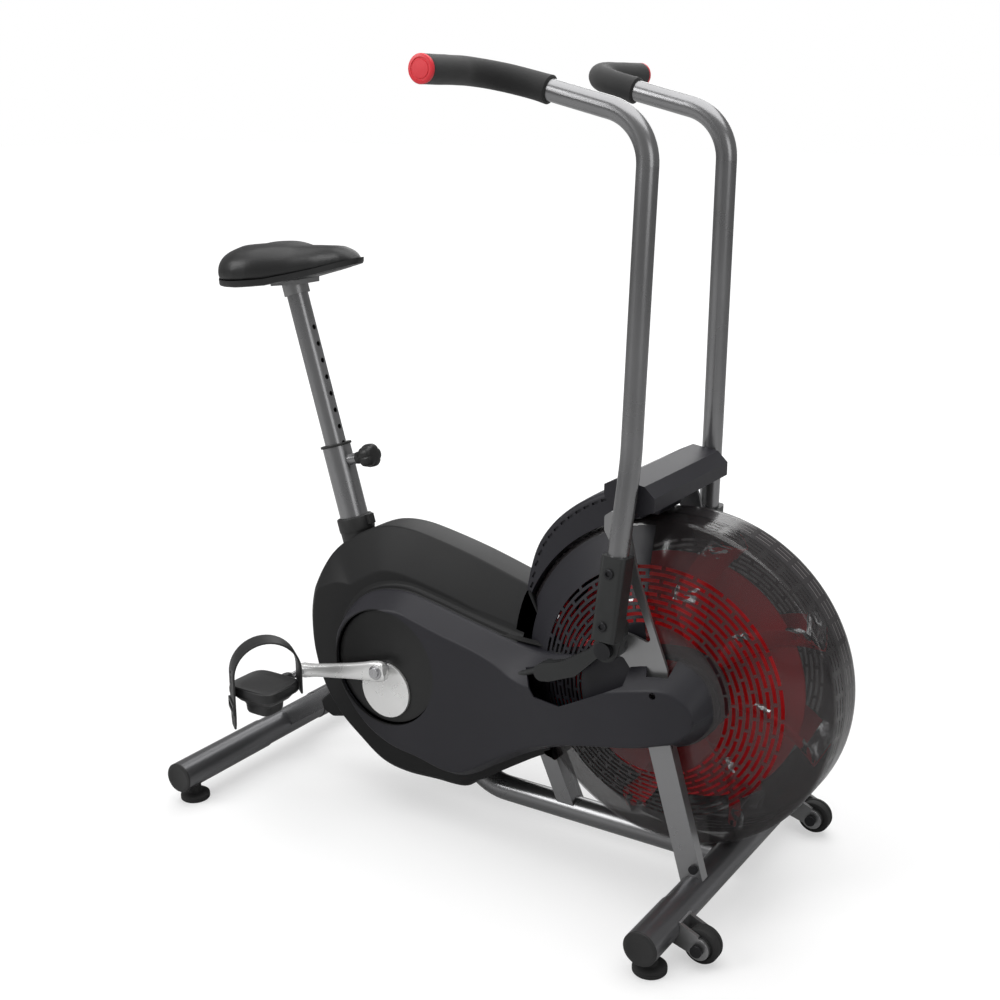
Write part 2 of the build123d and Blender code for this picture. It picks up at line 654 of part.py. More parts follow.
def lever_left():
    """Socket for the handlebar, pivot hub and the lever that reaches back to the link."""
    low = Vector(*HANDLE_FOOT)
    way = (Vector(*HANDLE_KNEE) - low).normalized()
    start = low + way * ((SOCKET_LOW_Z - low.Z) / way.Z)
    length = (SOCKET_TOP_Z - SOCKET_LOW_Z) / way.Z
    socket_plane = Plane(origin=start, x_dir=(1, 0, 0), z_dir=way)
    socket = extrude(socket_plane * RectangleRounded(SOCKET_DEPTH, SOCKET_WIDTH, 7), amount=length)
    front = plate(
        [(756, 421), (765, 446), (768, 470), (808, 470), (806, 446), (796, 412), (776, 402), (762, 405)],
        LEVER_STEP_Y, LEVER_OUTER_Y, 8,
    )
    hub = rod_y(PIVOT_X, PIVOT_Z, PIVOT_HUB_R, LEVER_INNER_Y, LEVER_OUTER_Y)
    rear = plate(
        [(790, 432), (768, 440), (740, 408), (690, 376), (650, 364), (641, 352), (650, 336), (668, 338),
         (716, 358), (760, 402), (790, 410)],
        LEVER_INNER_Y, LEVER_STEP_Y, 6,
    )
    lever = socket + front + hub + rear
    lever += rod_y(LEVER_PIN_X, LEVER_PIN_Z, 14, LEVER_INNER_Y, LEVER_STEP_Y)
    pin_end = LINK_FRONT_Y - LINK_EYE_HALF - 2
    lever += rod_y(LEVER_PIN_X, LEVER_PIN_Z, LEVER_PIN_R, pin_end, LEVER_INNER_Y)
    lever -= rod_y(PIVOT_X, PIVOT_Z, PIVOT_R + RUNNING_GAP, 90, 200)
    tube_core = extrude(Plane(origin=low, z_dir=way) * Circle(HANDLE_R), amount=200)
    return lever - tube_core


def link_left():
    front = (LEVER_PIN_X, LINK_FRONT_Y, LEVER_PIN_Z)
    rear = (LINK_REAR_X, LINK_REAR_Y, LINK_REAR_Z)
    link = bar(rear, front, Circle(LINK_R))
    for x, y, z in (front, rear):
        link += rod_y(x, z, LINK_EYE_R, y - LINK_EYE_HALF, y + LINK_EYE_HALF)
    for x, y, z in (front, rear):
        link -= rod_y(x, z, LEVER_PIN_R + RUNNING_GAP, y - 12, y + 12)
    return link


def handle_parts():
    path = handle_path(
        [HANDLE_FOOT, HANDLE_KNEE, HANDLE_ELBOW, HANDLE_CORNER, HANDLE_END],
        [KNEE_BEND, ELBOW_BEND, GRIP_BEND],
    )
    tube = swept_round(path, HANDLE_R, HANDLE_R - STABILIZER_WALL)
    grip_path = handle_path([GRIP_START, HANDLE_CORNER, HANDLE_END], [GRIP_BEND])
    grip = swept_round(grip_path, GRIP_R, HANDLE_R + 0.1)
    way = (Vector(*HANDLE_END) - Vector(*HANDLE_CORNER)).normalized()
    cap_plane = Plane(origin=HANDLE_END, z_dir=way)
    cap = extrude(cap_plane * Circle(GRIP_R), amount=GRIP_CAP_THICKNESS)
    cap -= extrude(cap_plane.offset(GRIP_CAP_THICKNESS - 1) * (Circle(15) - Circle(12)), amount=2)
    pieces = {
        "handlebar": tube,
        "handle_lever": lever_left(),
        "grip": grip,
        "grip_cap": cap,
        "link_rod": link_left(),
    }
    for name, piece in pieces.items():
        save(f"{name}_left", piece)
        save(f"{name}_right", right_side(piece))


# ---- Seat ----

def saddle_solid(drop):
    """Pear-shaped saddle, its underside rising to the nose; drop lowers the underside."""
    pear = plan_prism([*SADDLE_PLAN, *[(x, -y) for x, y in reversed(SADDLE_PLAN[1:-1])]], 860, 1000)
    side = [(x, z - drop if low else z) for x, z, low in SADDLE_SIDE]
    return pear & plate(side, -150, 150)


def saddle_plate():
    """Flat seat pan under the saddle, square to the post's top."""
    x = mast_x(POST_TOP_Z)
    return plate([(x - 34, 898), (x + 34, 906), (x + 34, 915), (x - 34, 905)], -26, 26)


def seat_parts():
    foot_point, top_point = mast_point(POST_FOOT_Z), mast_point(POST_TOP_Z)
    post = pipe(foot_point, top_point, POST_R, POST_WALL)
    forward = pop_pin_axis()[1]
    for step in range(POST_HOLES + 1):
        z = MAST_TOP_Z + 32 + (step - 1) * POST_HOLE_PITCH * cos(atan2(MAST_LEAN, 1))
        hole = Plane(origin=mast_point(z), z_dir=forward) * Circle(POST_HOLE_R)
        post -= extrude(hole, amount=POST_R + 5)
    save("seat_post", post)

    clamp = bar(mast_point(POST_TOP_Z - 16), mast_point(POST_TOP_Z + 10), Circle(POST_R + 4))
    clamp += saddle_plate()
    save("saddle_clamp", clamp - bar(foot_point, top_point, Circle(POST_R)) - saddle_solid(0.4))

    save("saddle", saddle_solid(0))

    start, way = pop_pin_axis()
    knob = pop_pin_part(MAST_R + 17, MAST_R + 30, 11) + pop_pin_part(MAST_R + 30, MAST_R + 58, 17)
    for step in range(5):
        angle = radians(step * 72)
        side = Vector(-way.Z, 0, way.X) * cos(angle) * 14 + Vector(0, 1, 0) * sin(angle) * 14
        lobe_plane = Plane(origin=start + way * (MAST_R + 32) + side, z_dir=way)
        knob += extrude(lobe_plane * Circle(9), amount=24)
    knob += pop_pin_part(POST_R + 1.5, MAST_R + 20, 5.12)
    save("adjuster_knob", knob)


# ---- Covers ----

BODY_OUTLINE = [
    (262, 500), (238, 487), (183, 459), (148, 430), (122, 389), (108, 345), (104, 300), (108, 239), (130, 175),
    (166, 124), (211, 87), (263, 53), (318, 43), (385, 48), (442, 47), (470, 65), (600, 156), (660, 200),
    (660, 430), (541, 452), (456, 476), (374, 494), (318, 502),
]
PANEL_OUTLINE = [
    (206, 271), (212, 330), (246, 386), (309, 415), (366, 418), (447, 402), (540, 380), (620, 366), (684, 365),
    (780, 396), (838, 408), (900, 409), (930, 376), (938, 340), (926, 306), (898, 278), (862, 266),
    (763, 242), (686, 223), (610, 190), (520, 148), (430, 120), (330, 112), (258, 140), (218, 200),
]
PANEL_PLAN = [
    (190, PANEL_INNER_Y), (190, PANEL_FACE_Y - 6), (204, PANEL_FACE_Y), (500, PANEL_FACE_Y),
    (630, ARM_FACE_Y), (900, ARM_FACE_Y), (945, ARM_FACE_Y - 14), (945, PANEL_INNER_Y),
]


def shrunk(points, amount):
    """The outline moved inward by an amount, as a face in XZ at Y = 0."""
    face = make_face(Polyline(*[(x, 0, z) for x, z in points], close=True))
    return offset(face, amount=-amount, kind=Kind.INTERSECTION) if amount else face


def outline_prism(points, amount, y_low, y_high):
    return Pos(0, y_low, 0) * extrude(shrunk(points, amount), amount=y_high - y_low, dir=(0, 1, 0))


def spine_chamfer():
    """Wedge that slopes the body's top from the narrow spine out to its side."""
    far = BODY_HALF + 60
    section = [(SPINE_HALF, 530), (SPINE_HALF, 503), (BODY_HALF + 1, 430), (far, 430), (far, 530)]
    rear_x, slope = 180.0, -0.24
    corners = [(rear_x, y, z) for y, z in section]
    wedge = extrude(make_face(Polyline(*corners, close=True)), amount=470, dir=(1, 0, 0))
    turned = Pos(340, 0, 503) * Rot(0, degrees(atan2(-slope, 1)), 0) * Pos(-340, 0, -503) * wedge
    return turned


def cage_clearance():
    """Space kept for the cage, its shoulder and the lens-shaped side."""
    grown = [(r + CAGE_GAP, y + CAGE_GAP if y > 0 else 0) for r, y in cage_profile(0)[:-2]]
    return fan_revolve([*grown, (0, CAGE_HUB_Y + CAGE_GAP), (0, 0)])


def frame_clearances():
    keep_out = [
        mast_tube(MAST_R + PASS_GAP, 0),
        rear_neck(PASS_GAP, 0),
        front_strut(PASS_GAP, 0),
        main_beam(0, PASS_GAP),
        rod_y(CRANK_X, CRANK_Z, BRACKET_R + PASS_GAP, -BRACKET_HALF - 1, BRACKET_HALF + 1),
        rod_y(CRANK_X, CRANK_Z, CRANK_AXLE_R + 6, -200, 200),
    ]
    return keep_out


def body_left():
    """Left half of the black body, open on its middle plane."""
    outer = outline_prism(BODY_OUTLINE, 0, 0, BODY_HALF)
    outer -= spine_chamfer()
    lug = plate([(150, 170), (58, 92), (66, 78), (100, 84), (200, 120)], 0, 29)
    outer += lug
    inner = outline_prism(BODY_OUTLINE, WALL, -1, SPINE_HALF - WALL)
    lower = [(x, min(z, 425 - 0.24 * (x - 340))) for x, z in BODY_OUTLINE]
    inner += outline_prism(lower, WALL, -1, BODY_HALF - WALL)
    shell = outer - inner - cage_clearance()
    for tube in frame_clearances():
        shell -= tube
    return shell.solids().sort_by(SortBy.VOLUME)[-1]


def panel_left():
    """Accent panel with the disc opening, reaching forward as a hollow arm over the fan axle."""
    outer = outline_prism(PANEL_OUTLINE, 0, PANEL_INNER_Y + 0.4, 160) & plan_prism(PANEL_PLAN, 0, 600)
    inner_plan = [(x - WALL if x > 600 else x + WALL, max(y - WALL, 40)) for x, y in PANEL_PLAN]
    inner = outline_prism(PANEL_OUTLINE, WALL, 40, 160) & plan_prism(inner_plan, 0, 600)
    shell = outer - inner - rod_y(CRANK_X, CRANK_Z, DISC_R + DISC_GAP, 80, 130)
    shell -= cage_clearance()
    shell -= plate(leg_outline(PASS_GAP + 1), LEG_Y - 11, LEG_Y + 11)
    # Slot in the arm's top for the lever, and the notch for the upright plate.
    shell -= block(594, 800, LINK_FRONT_Y - 9, LEVER_STEP_Y + 4, 330, 430)
    shell -= outline_prism(UPRIGHT_OUTLINE, -2, UPRIGHT_Y - 3, UPRIGHT_Y + UPRIGHT_THICKNESS + 3)
    shell -= rod_y(FAN_X + 21, FAN_Z + 23, 5, 120, 160)
    return shell.solids().sort_by(SortBy.VOLUME)[-1]


def fender():
    """Band over the cage's upper rear, from the body up to the console."""
    band = plate(
        [
            (572, 430), (579, 488), (598, 538), (628, 577), (664, 607), (708, 632), (747, 645), (760, 560),
            (640, 430),
        ],
        -58, 58,
    )
    hollow = cage_clearance()
    band = band - hollow - mirror(hollow, about=Plane.XZ)
    upright_room = block(738, 790, 54, 70, 540, 650)
    band = band - upright_room - mirror(upright_room, about=Plane.XZ)
    return band.solids().sort_by(SortBy.VOLUME)[-1]


def cover_parts():
    body = body_left()
    save("shroud_left", body)
    right_body = right_side(body)
    belt_way = belt_loop(8, BELT_Y - BELT_WIDTH, BELT_Y + BELT_WIDTH)
    save("shroud_right", right_body - belt_way)
    panel = panel_left()
    save("accent_panel_left", panel)
    save("accent_panel_right", right_side(panel) - belt_way)
    band = fender()
    save("fan_fender", (band - body - right_body).solids().sort_by(SortBy.VOLUME)[-1])

    collar_low, collar_high = 474.0, 498.0
    ring = bar(mast_point(collar_low), mast_point(collar_high), Circle(MAST_R + 7) - Circle(MAST_R + 0.4))
    save("mast_collar", ring - body - right_body)


# ---- Console ----

def console_parts():
    half = CONSOLE_HALF
    section = [(754, 652), (754, 669), (776, 680), (820, 674), (837, 658), (837, 637), (817, 630), (770, 630)]
    housing = plate(section, -half, half)
    button_y = -84.0
    screen_low = Vector(754, 0, 669)
    screen_high = Vector(776, 0, 680)
    face_way = Vector(-(screen_high.Z - screen_low.Z), 0, screen_high.X - screen_low.X).normalized()
    middle = (screen_low + screen_high) * 0.5
    face = Plane(origin=middle, x_dir=(0, 1, 0), z_dir=face_way)
    pocket = extrude(face.offset(-2.5) * Rectangle(116, 19), amount=6)
    housing -= pocket
    save("console_screen", extrude(face.offset(-2.5) * Rectangle(115.2, 18.2), amount=2.5))
    spot = Plane(origin=middle + Vector(0, button_y, 0), x_dir=(0, 1, 0), z_dir=face_way)
    housing -= extrude(spot.offset(-6) * Circle(7.4), amount=12)
    save("console_housing", housing)
    save("console_button", extrude(spot.offset(-4) * Circle(7.0), amount=6))

    foot = plate([(755, 606), (800, 606), (815, 629.9), (772, 629.9)], -40, 40)
    wing = plate([(756, 612), (790, 612), (800, 629.9), (772, 629.9)], -UPRIGHT_Y + 0.2, UPRIGHT_Y - 0.2)
    hollow = cage_clearance()
    save("console_bracket", foot + wing - hollow - mirror(hollow, about=Plane.XZ) - fender())


# ---- Transport wheels ----

def wheel_parts():
    low, high = WHEEL_Y - WHEEL_HALF, WHEEL_Y + WHEEL_HALF
    wheel = rod_y(WHEEL_X, WHEEL_Z, WHEEL_R, low, high, WHEEL_AXLE_R + RUNNING_GAP)
    save("wheel_left", wheel)
    save("wheel_right", right_side(wheel))

    cheeks = []
    for low in (WHEEL_Y - 19, WHEEL_Y + 13):
        cheek = rod_y(WHEEL_X, WHEEL_Z, 17, low, low + 6)
        cheek += plate([(WHEEL_X, 18), (WHEEL_X, 52), (930, 76), (930, 34)], low, low + 6)
        cheeks.append(cheek - rod_y(WHEEL_X, WHEEL_Z, WHEEL_AXLE_R, low - 1, low + 7))
    bridge = block(930, 958, WHEEL_Y - 19, WHEEL_Y + 19, 40, 66)
    bracket = cheeks[0] + cheeks[1] + bridge
    bracket -= rod_y(WHEEL_X, WHEEL_Z, WHEEL_R + 1.5, WHEEL_Y - 13, WHEEL_Y + 13)
    bracket -= rod_y(FRONT_X, STABILIZER_Z, SLEEVE_R, WHEEL_Y - 30, WHEEL_Y + 30)
    save("wheel_brackets", both_sides(bracket))


base_parts()
frame_parts()
fork_parts()
fan_parts()
crank_parts()
handle_parts()
seat_parts()
cover_parts()
console_parts()
wheel_parts()
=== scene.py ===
import json
import math

import bmesh
import bpy
from mathutils import Matrix, Vector, noise


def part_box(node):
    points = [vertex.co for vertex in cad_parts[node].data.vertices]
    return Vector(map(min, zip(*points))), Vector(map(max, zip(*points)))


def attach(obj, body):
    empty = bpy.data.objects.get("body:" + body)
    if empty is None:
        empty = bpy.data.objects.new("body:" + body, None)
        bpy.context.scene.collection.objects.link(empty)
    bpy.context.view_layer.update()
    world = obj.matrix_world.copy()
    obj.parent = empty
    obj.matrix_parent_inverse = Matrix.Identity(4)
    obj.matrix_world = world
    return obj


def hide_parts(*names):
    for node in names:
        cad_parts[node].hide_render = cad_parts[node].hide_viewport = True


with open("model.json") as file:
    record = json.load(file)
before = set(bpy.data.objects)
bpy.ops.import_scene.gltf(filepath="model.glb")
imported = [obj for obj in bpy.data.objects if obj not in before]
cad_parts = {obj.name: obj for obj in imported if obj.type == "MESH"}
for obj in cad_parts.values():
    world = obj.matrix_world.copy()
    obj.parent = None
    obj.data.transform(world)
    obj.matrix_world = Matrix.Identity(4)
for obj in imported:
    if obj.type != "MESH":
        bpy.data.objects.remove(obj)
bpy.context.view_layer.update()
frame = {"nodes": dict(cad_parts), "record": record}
nodes = frame["nodes"]
scene = bpy.context.scene


# ---- Camera, so that everything else is judged through it ----

CAMERA_PLACE = Vector((1.2032, -1.8937, 1.21435))
CAMERA_AZIMUTH, CAMERA_ELEVATION = math.radians(32.73), math.radians(15.92)
camera = bpy.data.objects.new("camera", bpy.data.cameras.new("camera"))
scene.collection.objects.link(camera)
camera.location = CAMERA_PLACE
sight = Vector((
    -math.sin(CAMERA_AZIMUTH) * math.cos(CAMERA_ELEVATION),
    math.cos(CAMERA_AZIMUTH) * math.cos(CAMERA_ELEVATION),
    -math.sin(CAMERA_ELEVATION),
))
camera.rotation_mode = "QUATERNION"
camera.rotation_quaternion = sight.to_track_quat("-Z", "Y")
camera.data.lens = 50.6
camera.data.sensor_width = 36
camera.data.clip_start, camera.data.clip_end = 0.05, 60
scene.camera = camera


# ---- Layout: millimetres from the rear stabilizer's axis, as the CAD is laid out ----

def middle(node):
    low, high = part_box(node)
    return (Vector(low) + Vector(high)) / 2


REAR = middle("rear_stabilizer")


def at(x, y, z):
    return Vector((REAR.x + x / 1000, y / 1000, z / 1000))


def layout_x(point):
    return (point.x - REAR.x) * 1000


FAN_X, FAN_Z = layout_x(middle("fan_hub")), middle("fan_hub").z * 1000
CRANK_X, CRANK_Z = layout_x(middle("crank_axle")), middle("crank_axle").z * 1000
MAST_LEAN = math.radians(16.2)
MAST_WAY = Vector((-math.sin(MAST_LEAN), 0, math.cos(MAST_LEAN)))
MAST_FRONT = Vector((math.cos(MAST_LEAN), 0, math.sin(MAST_LEAN)))


def mast_point(z):
    return at(141.5 + (619.0 - z) * math.tan(MAST_LEAN), 0, z)


# ---- Materials ----

RAMP_LOW, RAMP_HIGH = 0.3, 0.72
ROUGHNESS_SPREAD = 0.07
COAT_ROUGHNESS = 0.12


def surface(name, colour, rough, metallic=0.0, spread=0.10, grain=900.0, bump=0.06, mottling=14.0,
            coat=0.0, alpha=1.0, sheen=0.0, pattern="noise", specular=0.5):
    """A procedural finish: colour mottling, broken-up roughness and a fine relief."""
    mat = bpy.data.materials.new(name)
    mat.use_nodes = True
    tree = mat.node_tree
    shader = tree.nodes["Principled BSDF"]
    place = tree.nodes.new("ShaderNodeTexCoord")

    cloud = tree.nodes.new("ShaderNodeTexNoise")
    cloud.inputs["Scale"].default_value = mottling
    cloud.inputs["Detail"].default_value = 6
    tree.links.new(place.outputs["Object"], cloud.inputs["Vector"])

    fine = tree.nodes.new("ShaderNodeTexVoronoi" if pattern == "pebble" else "ShaderNodeTexNoise")
    fine.inputs["Scale"].default_value = grain
    tree.links.new(place.outputs["Object"], fine.inputs["Vector"])
    fine_out = fine.outputs["Distance"] if pattern == "pebble" else fine.outputs["Fac"]

    tint = tree.nodes.new("ShaderNodeValToRGB")
    tint.color_ramp.elements[0].position = RAMP_LOW
    tint.color_ramp.elements[1].position = RAMP_HIGH
    tint.color_ramp.elements[0].color = (*[c * (1 - spread) for c in colour], 1)
    tint.color_ramp.elements[1].color = (*[min(1, c * (1 + spread)) for c in colour], 1)
    tree.links.new(cloud.outputs["Fac"], tint.inputs["Fac"])
    tree.links.new(tint.outputs["Color"], shader.inputs["Base Color"])

    gloss = tree.nodes.new("ShaderNodeMapRange")
    gloss.inputs["To Min"].default_value = max(0.02, rough - ROUGHNESS_SPREAD)
    gloss.inputs["To Max"].default_value = min(1.0, rough + ROUGHNESS_SPREAD)
    tree.links.new(cloud.outputs["Fac"], gloss.inputs["Value"])
    tree.links.new(gloss.outputs["Result"], shader.inputs["Roughness"])

    relief = tree.nodes.new("ShaderNodeBump")
    relief.inputs["Strength"].default_value = bump
    relief.inputs["Distance"].default_value = 0.001
    tree.links.new(fine_out, relief.inputs["Height"])
    tree.links.new(relief.outputs["Normal"], shader.inputs["Normal"])

    shader.inputs["Metallic"].default_value = metallic
    shader.inputs["Coat Weight"].default_value = coat
    shader.inputs["Coat Roughness"].default_value = COAT_ROUGHNESS
    shader.inputs["Alpha"].default_value = alpha
    shader.inputs["Sheen Weight"].default_value = sheen
    shader.inputs["Specular IOR Level"].default_value = specular
    return mat


finish = {
    "frame_grey": surface("frame_paint", (0.27, 0.27, 0.275), 0.28, 0.85, 0.05, 1500, 0.012, 9, coat=0.25),
    "base_grey": surface("base_paint", (0.13, 0.13, 0.135), 0.3, 0.7, 0.06, 1500, 0.015, 9, coat=0.25),
    "upright_grey": surface("upright_paint", (0.3, 0.3, 0.303), 0.32, 0.8, 0.05, 1500, 0.012, 9),
    "cap_black": surface("cap_plastic", (0.014, 0.014, 0.014), 0.5, 0, 0.2, 1500, 0.12, 20),
    "rubber_black": surface("foot_rubber", (0.013, 0.013, 0.013), 0.75, 0, 0.25, 900, 0.2, 30),
    "shroud_black": surface("shroud_plastic", (0.0105, 0.0105, 0.0108), 0.5, 0, 0.12, 1400, 0.14, 6,
                            specular=0.3),
    "panel_charcoal": surface("panel_plastic", (0.019, 0.0184, 0.0232), 0.46, 0, 0.10, 1400, 0.12, 6,
                              specular=0.35),
    "cage_smoke": surface("cage_plastic", (0.035, 0.031, 0.032), 0.14, 0, 0.12, 300, 0.02, 5, coat=0.5,
                          alpha=0.48),
    "cage_slot": surface("cage_slot_film", (0.16, 0.15, 0.15), 0.3, 0, 0.12, 300, 0.02, 5, alpha=0.72),
    "cage_far": surface("cage_plastic_far", (0.03, 0.027, 0.028), 0.2, 0, 0.12, 300, 0.02, 5, alpha=0.9),
    "fan_red": surface("fan_paint", (0.9, 0.022, 0.03), 0.34, 0.1, 0.12, 700, 0.05, 8, coat=0.3),
    "steel": surface("machined_steel", (0.50, 0.50, 0.51), 0.28, 1.0, 0.06, 1800, 0.05, 30),
    "bolt_black": surface("bolt_oxide", (0.02, 0.02, 0.022), 0.4, 0.5, 0.2, 1500, 0.08, 40),
    "chrome": surface("clip_chrome", (0.86, 0.87, 0.88), 0.07, 1.0, 0.03, 400, 0.05, 30),
    "polished_alloy": surface("polished_alloy", (0.88, 0.88, 0.87), 0.28, 0.6, 0.03, 900, 0.008, 25),
    "disc_black": surface("disc_plastic", (0.007, 0.007, 0.007), 0.42, 0, 0.15, 1400, 0.08, 12),
    "pulley_black": surface("pulley_plastic", (0.02, 0.02, 0.02), 0.5, 0, 0.15, 1200, 0.1, 20),
    "belt_rubber": surface("belt_rubber", (0.014, 0.014, 0.014), 0.7, 0, 0.2, 800, 0.2, 30),
    "pedal_black": surface("pedal_plastic", (0.016, 0.016, 0.0165), 0.42, 0, 0.18, 1300, 0.14, 25),
    "strap_black": surface("strap_rubber", (0.013, 0.013, 0.013), 0.5, 0, 0.2, 1200, 0.14, 30),
    "lever_black": surface("lever_paint", (0.024, 0.025, 0.025), 0.42, 0.2, 0.12, 1800, 0.1, 20),
    "grip_foam": surface("grip_foam", (0.011, 0.011, 0.011), 0.72, 0, 0.25, 750, 0.35, 35, sheen=0.15,
                         pattern="pebble"),
    "cap_red": surface("cap_plastic_red", (0.76, 0.035, 0.05), 0.38, 0, 0.08, 1200, 0.06, 30),
    "saddle_vinyl": surface("saddle_vinyl", (0.0125, 0.0125, 0.0128), 0.42, 0, 0.15, 620, 0.16, 12,
                            pattern="pebble"),
    "clamp_steel": surface("clamp_paint", (0.3, 0.3, 0.303), 0.32, 0.8, 0.08, 1500, 0.1, 20),
    "knob_black": surface("knob_plastic", (0.011, 0.011, 0.011), 0.42, 0, 0.2, 1300, 0.12, 25),
    "screen": surface("screen_lens", (0.03, 0.034, 0.034), 0.12, 0, 0.15, 300, 0.01, 12, coat=0.6),
    "button_grey": surface("button_rubber", (0.2, 0.2, 0.21), 0.6, 0, 0.1, 1200, 0.1, 30),
}
node_slot = {s["node"]: s["material_slot"] for s in frame["record"]["subparts"]}
for name, obj in nodes.items():
    obj.data.materials.clear()
    obj.data.materials.append(finish[node_slot[name]])


def soften(node, width, angle=32.0, segments=3):
    """Rounds a carried-over CAD piece's sharp edges; its own mesh stays as it is."""
    weld = nodes[node].modifiers.new("weld", "WELD")
    weld.merge_threshold = 0.00002
    bevel = nodes[node].modifiers.new("bevel", "BEVEL")
    bevel.limit_method = "ANGLE"
    bevel.angle_limit = math.radians(angle)
    bevel.width = width / 1000
    bevel.segments = segments
    bevel.harden_normals = True


# ---- Mesh building ----

def blank(name, verts, faces, sharp=38.0):
    mesh = bpy.data.meshes.new(name)
    mesh.from_pydata([tuple(v) for v in verts], [], faces)
    work = bmesh.new()
    work.from_mesh(mesh)
    bmesh.ops.remove_doubles(work, verts=work.verts, dist=1e-6)
    bmesh.ops.dissolve_degenerate(work, edges=work.edges, dist=1e-7)
    bmesh.ops.recalc_face_normals(work, faces=work.faces)
    work.to_mesh(mesh)
    work.free()
    mesh.shade_smooth()
    mesh.set_sharp_from_angle(angle=math.radians(sharp))
    obj = bpy.data.objects.new(name, mesh)
    scene.collection.objects.link(obj)
    return obj


def fit(obj, body, slot, *stands_for):
    """Parents a finished piece to its body, gives it the slot's finish when it has none, and hides the CAD
    nodes that it stands for.
    """
    if not obj.data.materials:
        obj.data.materials.append(finish[slot])
    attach(obj, body)
    if stands_for:
        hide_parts(*stands_for)
    return obj


def rings_to_faces(count, size, closed=True, start=0):
    faces = []
    for j in range(count - 1):
        for i in range(size if closed else size - 1):
            a = start + j * size + i
            b = start + j * size + (i + 1) % size
            faces.append((a, b, b + size, a + size))
    return faces


class Builder:
    """Collects verts and faces of several loose parts for one piece."""

    def __init__(self):
        self.verts, self.faces = [], []

    def rings(self, rings, closed=True, cap_start=False, cap_end=False):
        start, size = len(self.verts), len(rings[0])
        for ring in rings:
            self.verts.extend(ring)
        self.faces.extend(rings_to_faces(len(rings), size, closed, start))
        if cap_start:
            self.faces.append(tuple(range(start, start + size)))
        if cap_end:
            last = start + (len(rings) - 1) * size
            self.faces.append(tuple(range(last, last + size)))
        return self

    def lathe(self, origin, axis, profile, segments=48, capped=True):
        """Turns (distance along the axis, radius) points, in millimetres, round an axis."""
        axis = axis.normalized()
        side = axis.orthogonal().normalized()
        other = axis.cross(side)
        rings = []
        for along, radius in profile:
            radius = max(radius, 0.01)
            ring = []
            for i in range(segments):
                turn = math.tau * i / segments
                way = side * math.cos(turn) + other * math.sin(turn)
                ring.append(origin + axis * (along / 1000) + way * (radius / 1000))
            rings.append(ring)
        if not capped:
            rings.append(rings[0])
        return self.rings(rings, True, capped, capped)

    def box(self, centre, half_x, half_y, half_z, turn=None):
        start = len(self.verts)
        turn = turn or Matrix.Identity(3)
        for sx, sy, sz in [(a, b, c) for a in (-1, 1) for b in (-1, 1) for c in (-1, 1)]:
            self.verts.append(centre + turn @ (Vector((sx * half_x, sy * half_y, sz * half_z)) / 1000))
        for face in ((0, 1, 3, 2), (4, 6, 7, 5), (0, 4, 5, 1), (2, 3, 7, 6), (0, 2, 6, 4), (1, 5, 7, 3)):
            self.faces.append(tuple(start + i for i in face))
        return self

    def prism(self, outline, y_low, y_high):
        """A plate whose outline is (x, z) points in the layout."""
        low = [at(x, y_low, z) for x, z in outline]
        high = [at(x, y_high, z) for x, z in outline]
        return self.rings([low, high], True, True, True)

    def make(self, name, sharp=38.0):
        return blank(name, self.verts, self.faces, sharp)


def apply_all(obj):
    """Turns an object's modifiers into its own mesh."""
    bpy.context.view_layer.update()
    seen = obj.evaluated_get(bpy.context.evaluated_depsgraph_get())
    mesh = bpy.data.meshes.new_from_object(seen)
    obj.modifiers.clear()
    obj.data = mesh
    return obj


def carve(obj, *cutters):
    """Cuts closed builders' shapes out of an object."""
    for cutter in cutters:
        tool = cutter.make("cutter")
        cut = obj.modifiers.new("cut", "BOOLEAN")
        cut.operation = "DIFFERENCE"
        cut.solver = "EXACT"
        cut.object = tool
        apply_all(obj)
        bpy.data.objects.remove(tool)
    return obj


def bevelled(obj, width, angle=32.0, segments=3):
    bevel = obj.modifiers.new("bevel", "BEVEL")
    bevel.limit_method = "ANGLE"
    bevel.angle_limit = math.radians(angle)
    bevel.width = width / 1000
    bevel.segments = segments
    bevel.harden_normals = True
    return obj


def catmull(points, steps, closed=True):
    """A smooth run of points through the given ones."""
    count = len(points)
    spans = count if closed else count - 1
    result = []
    for i in range(spans):
        if closed:
            p0, p1, p2, p3 = (Vector(points[(i + k) % count]) for k in (-1, 0, 1, 2))
        else:
            p0, p1, p2, p3 = (Vector(points[min(max(i + k, 0), count - 1)]) for k in (-1, 0, 1, 2))
        for s in range(steps):
            t = s / steps
            result.append(0.5 * (
                2 * p1 + (p2 - p0) * t + (2 * p0 - 5 * p1 + 4 * p2 - p3) * t * t
                + (3 * p1 - p0 - 3 * p2 + p3) * t ** 3
            ))
    if not closed:
        result.append(Vector(points[-1]))
    return result


def smooth(value, low, high):
    t = min(max((value - low) / (high - low), 0), 1)
    return t * t * (3 - 2 * t)


def lerp_table(table, value):
    """Value read off (input, output) pairs in rising order."""
    for (x0, y0), (x1, y1) in zip(table, table[1:]):
        if value <= x1:
            t = max(0, (value - x0) / (x1 - x0))
            return y0 + (y1 - y0) * t
    return table[-1][1]


def rounded_run(points, radii, steps=4):
    """Corners of a 3-D run rounded by short arcs."""
    result = [points[0]]
    for before, corner, after, radius in zip(points, points[1:], points[2:], radii):
        to_before, to_after = before - corner, after - corner
        cut = min(radius / 1000, to_before.length * 0.48, to_after.length * 0.48)
        start = corner + to_before.normalized() * cut
        end = corner + to_after.normalized() * cut
        for s in range(steps + 1):
            t = s / steps
            result.append(start * (1 - t) ** 2 + corner * 2 * t * (1 - t) + end * t * t)
    return [*result, points[-1]]


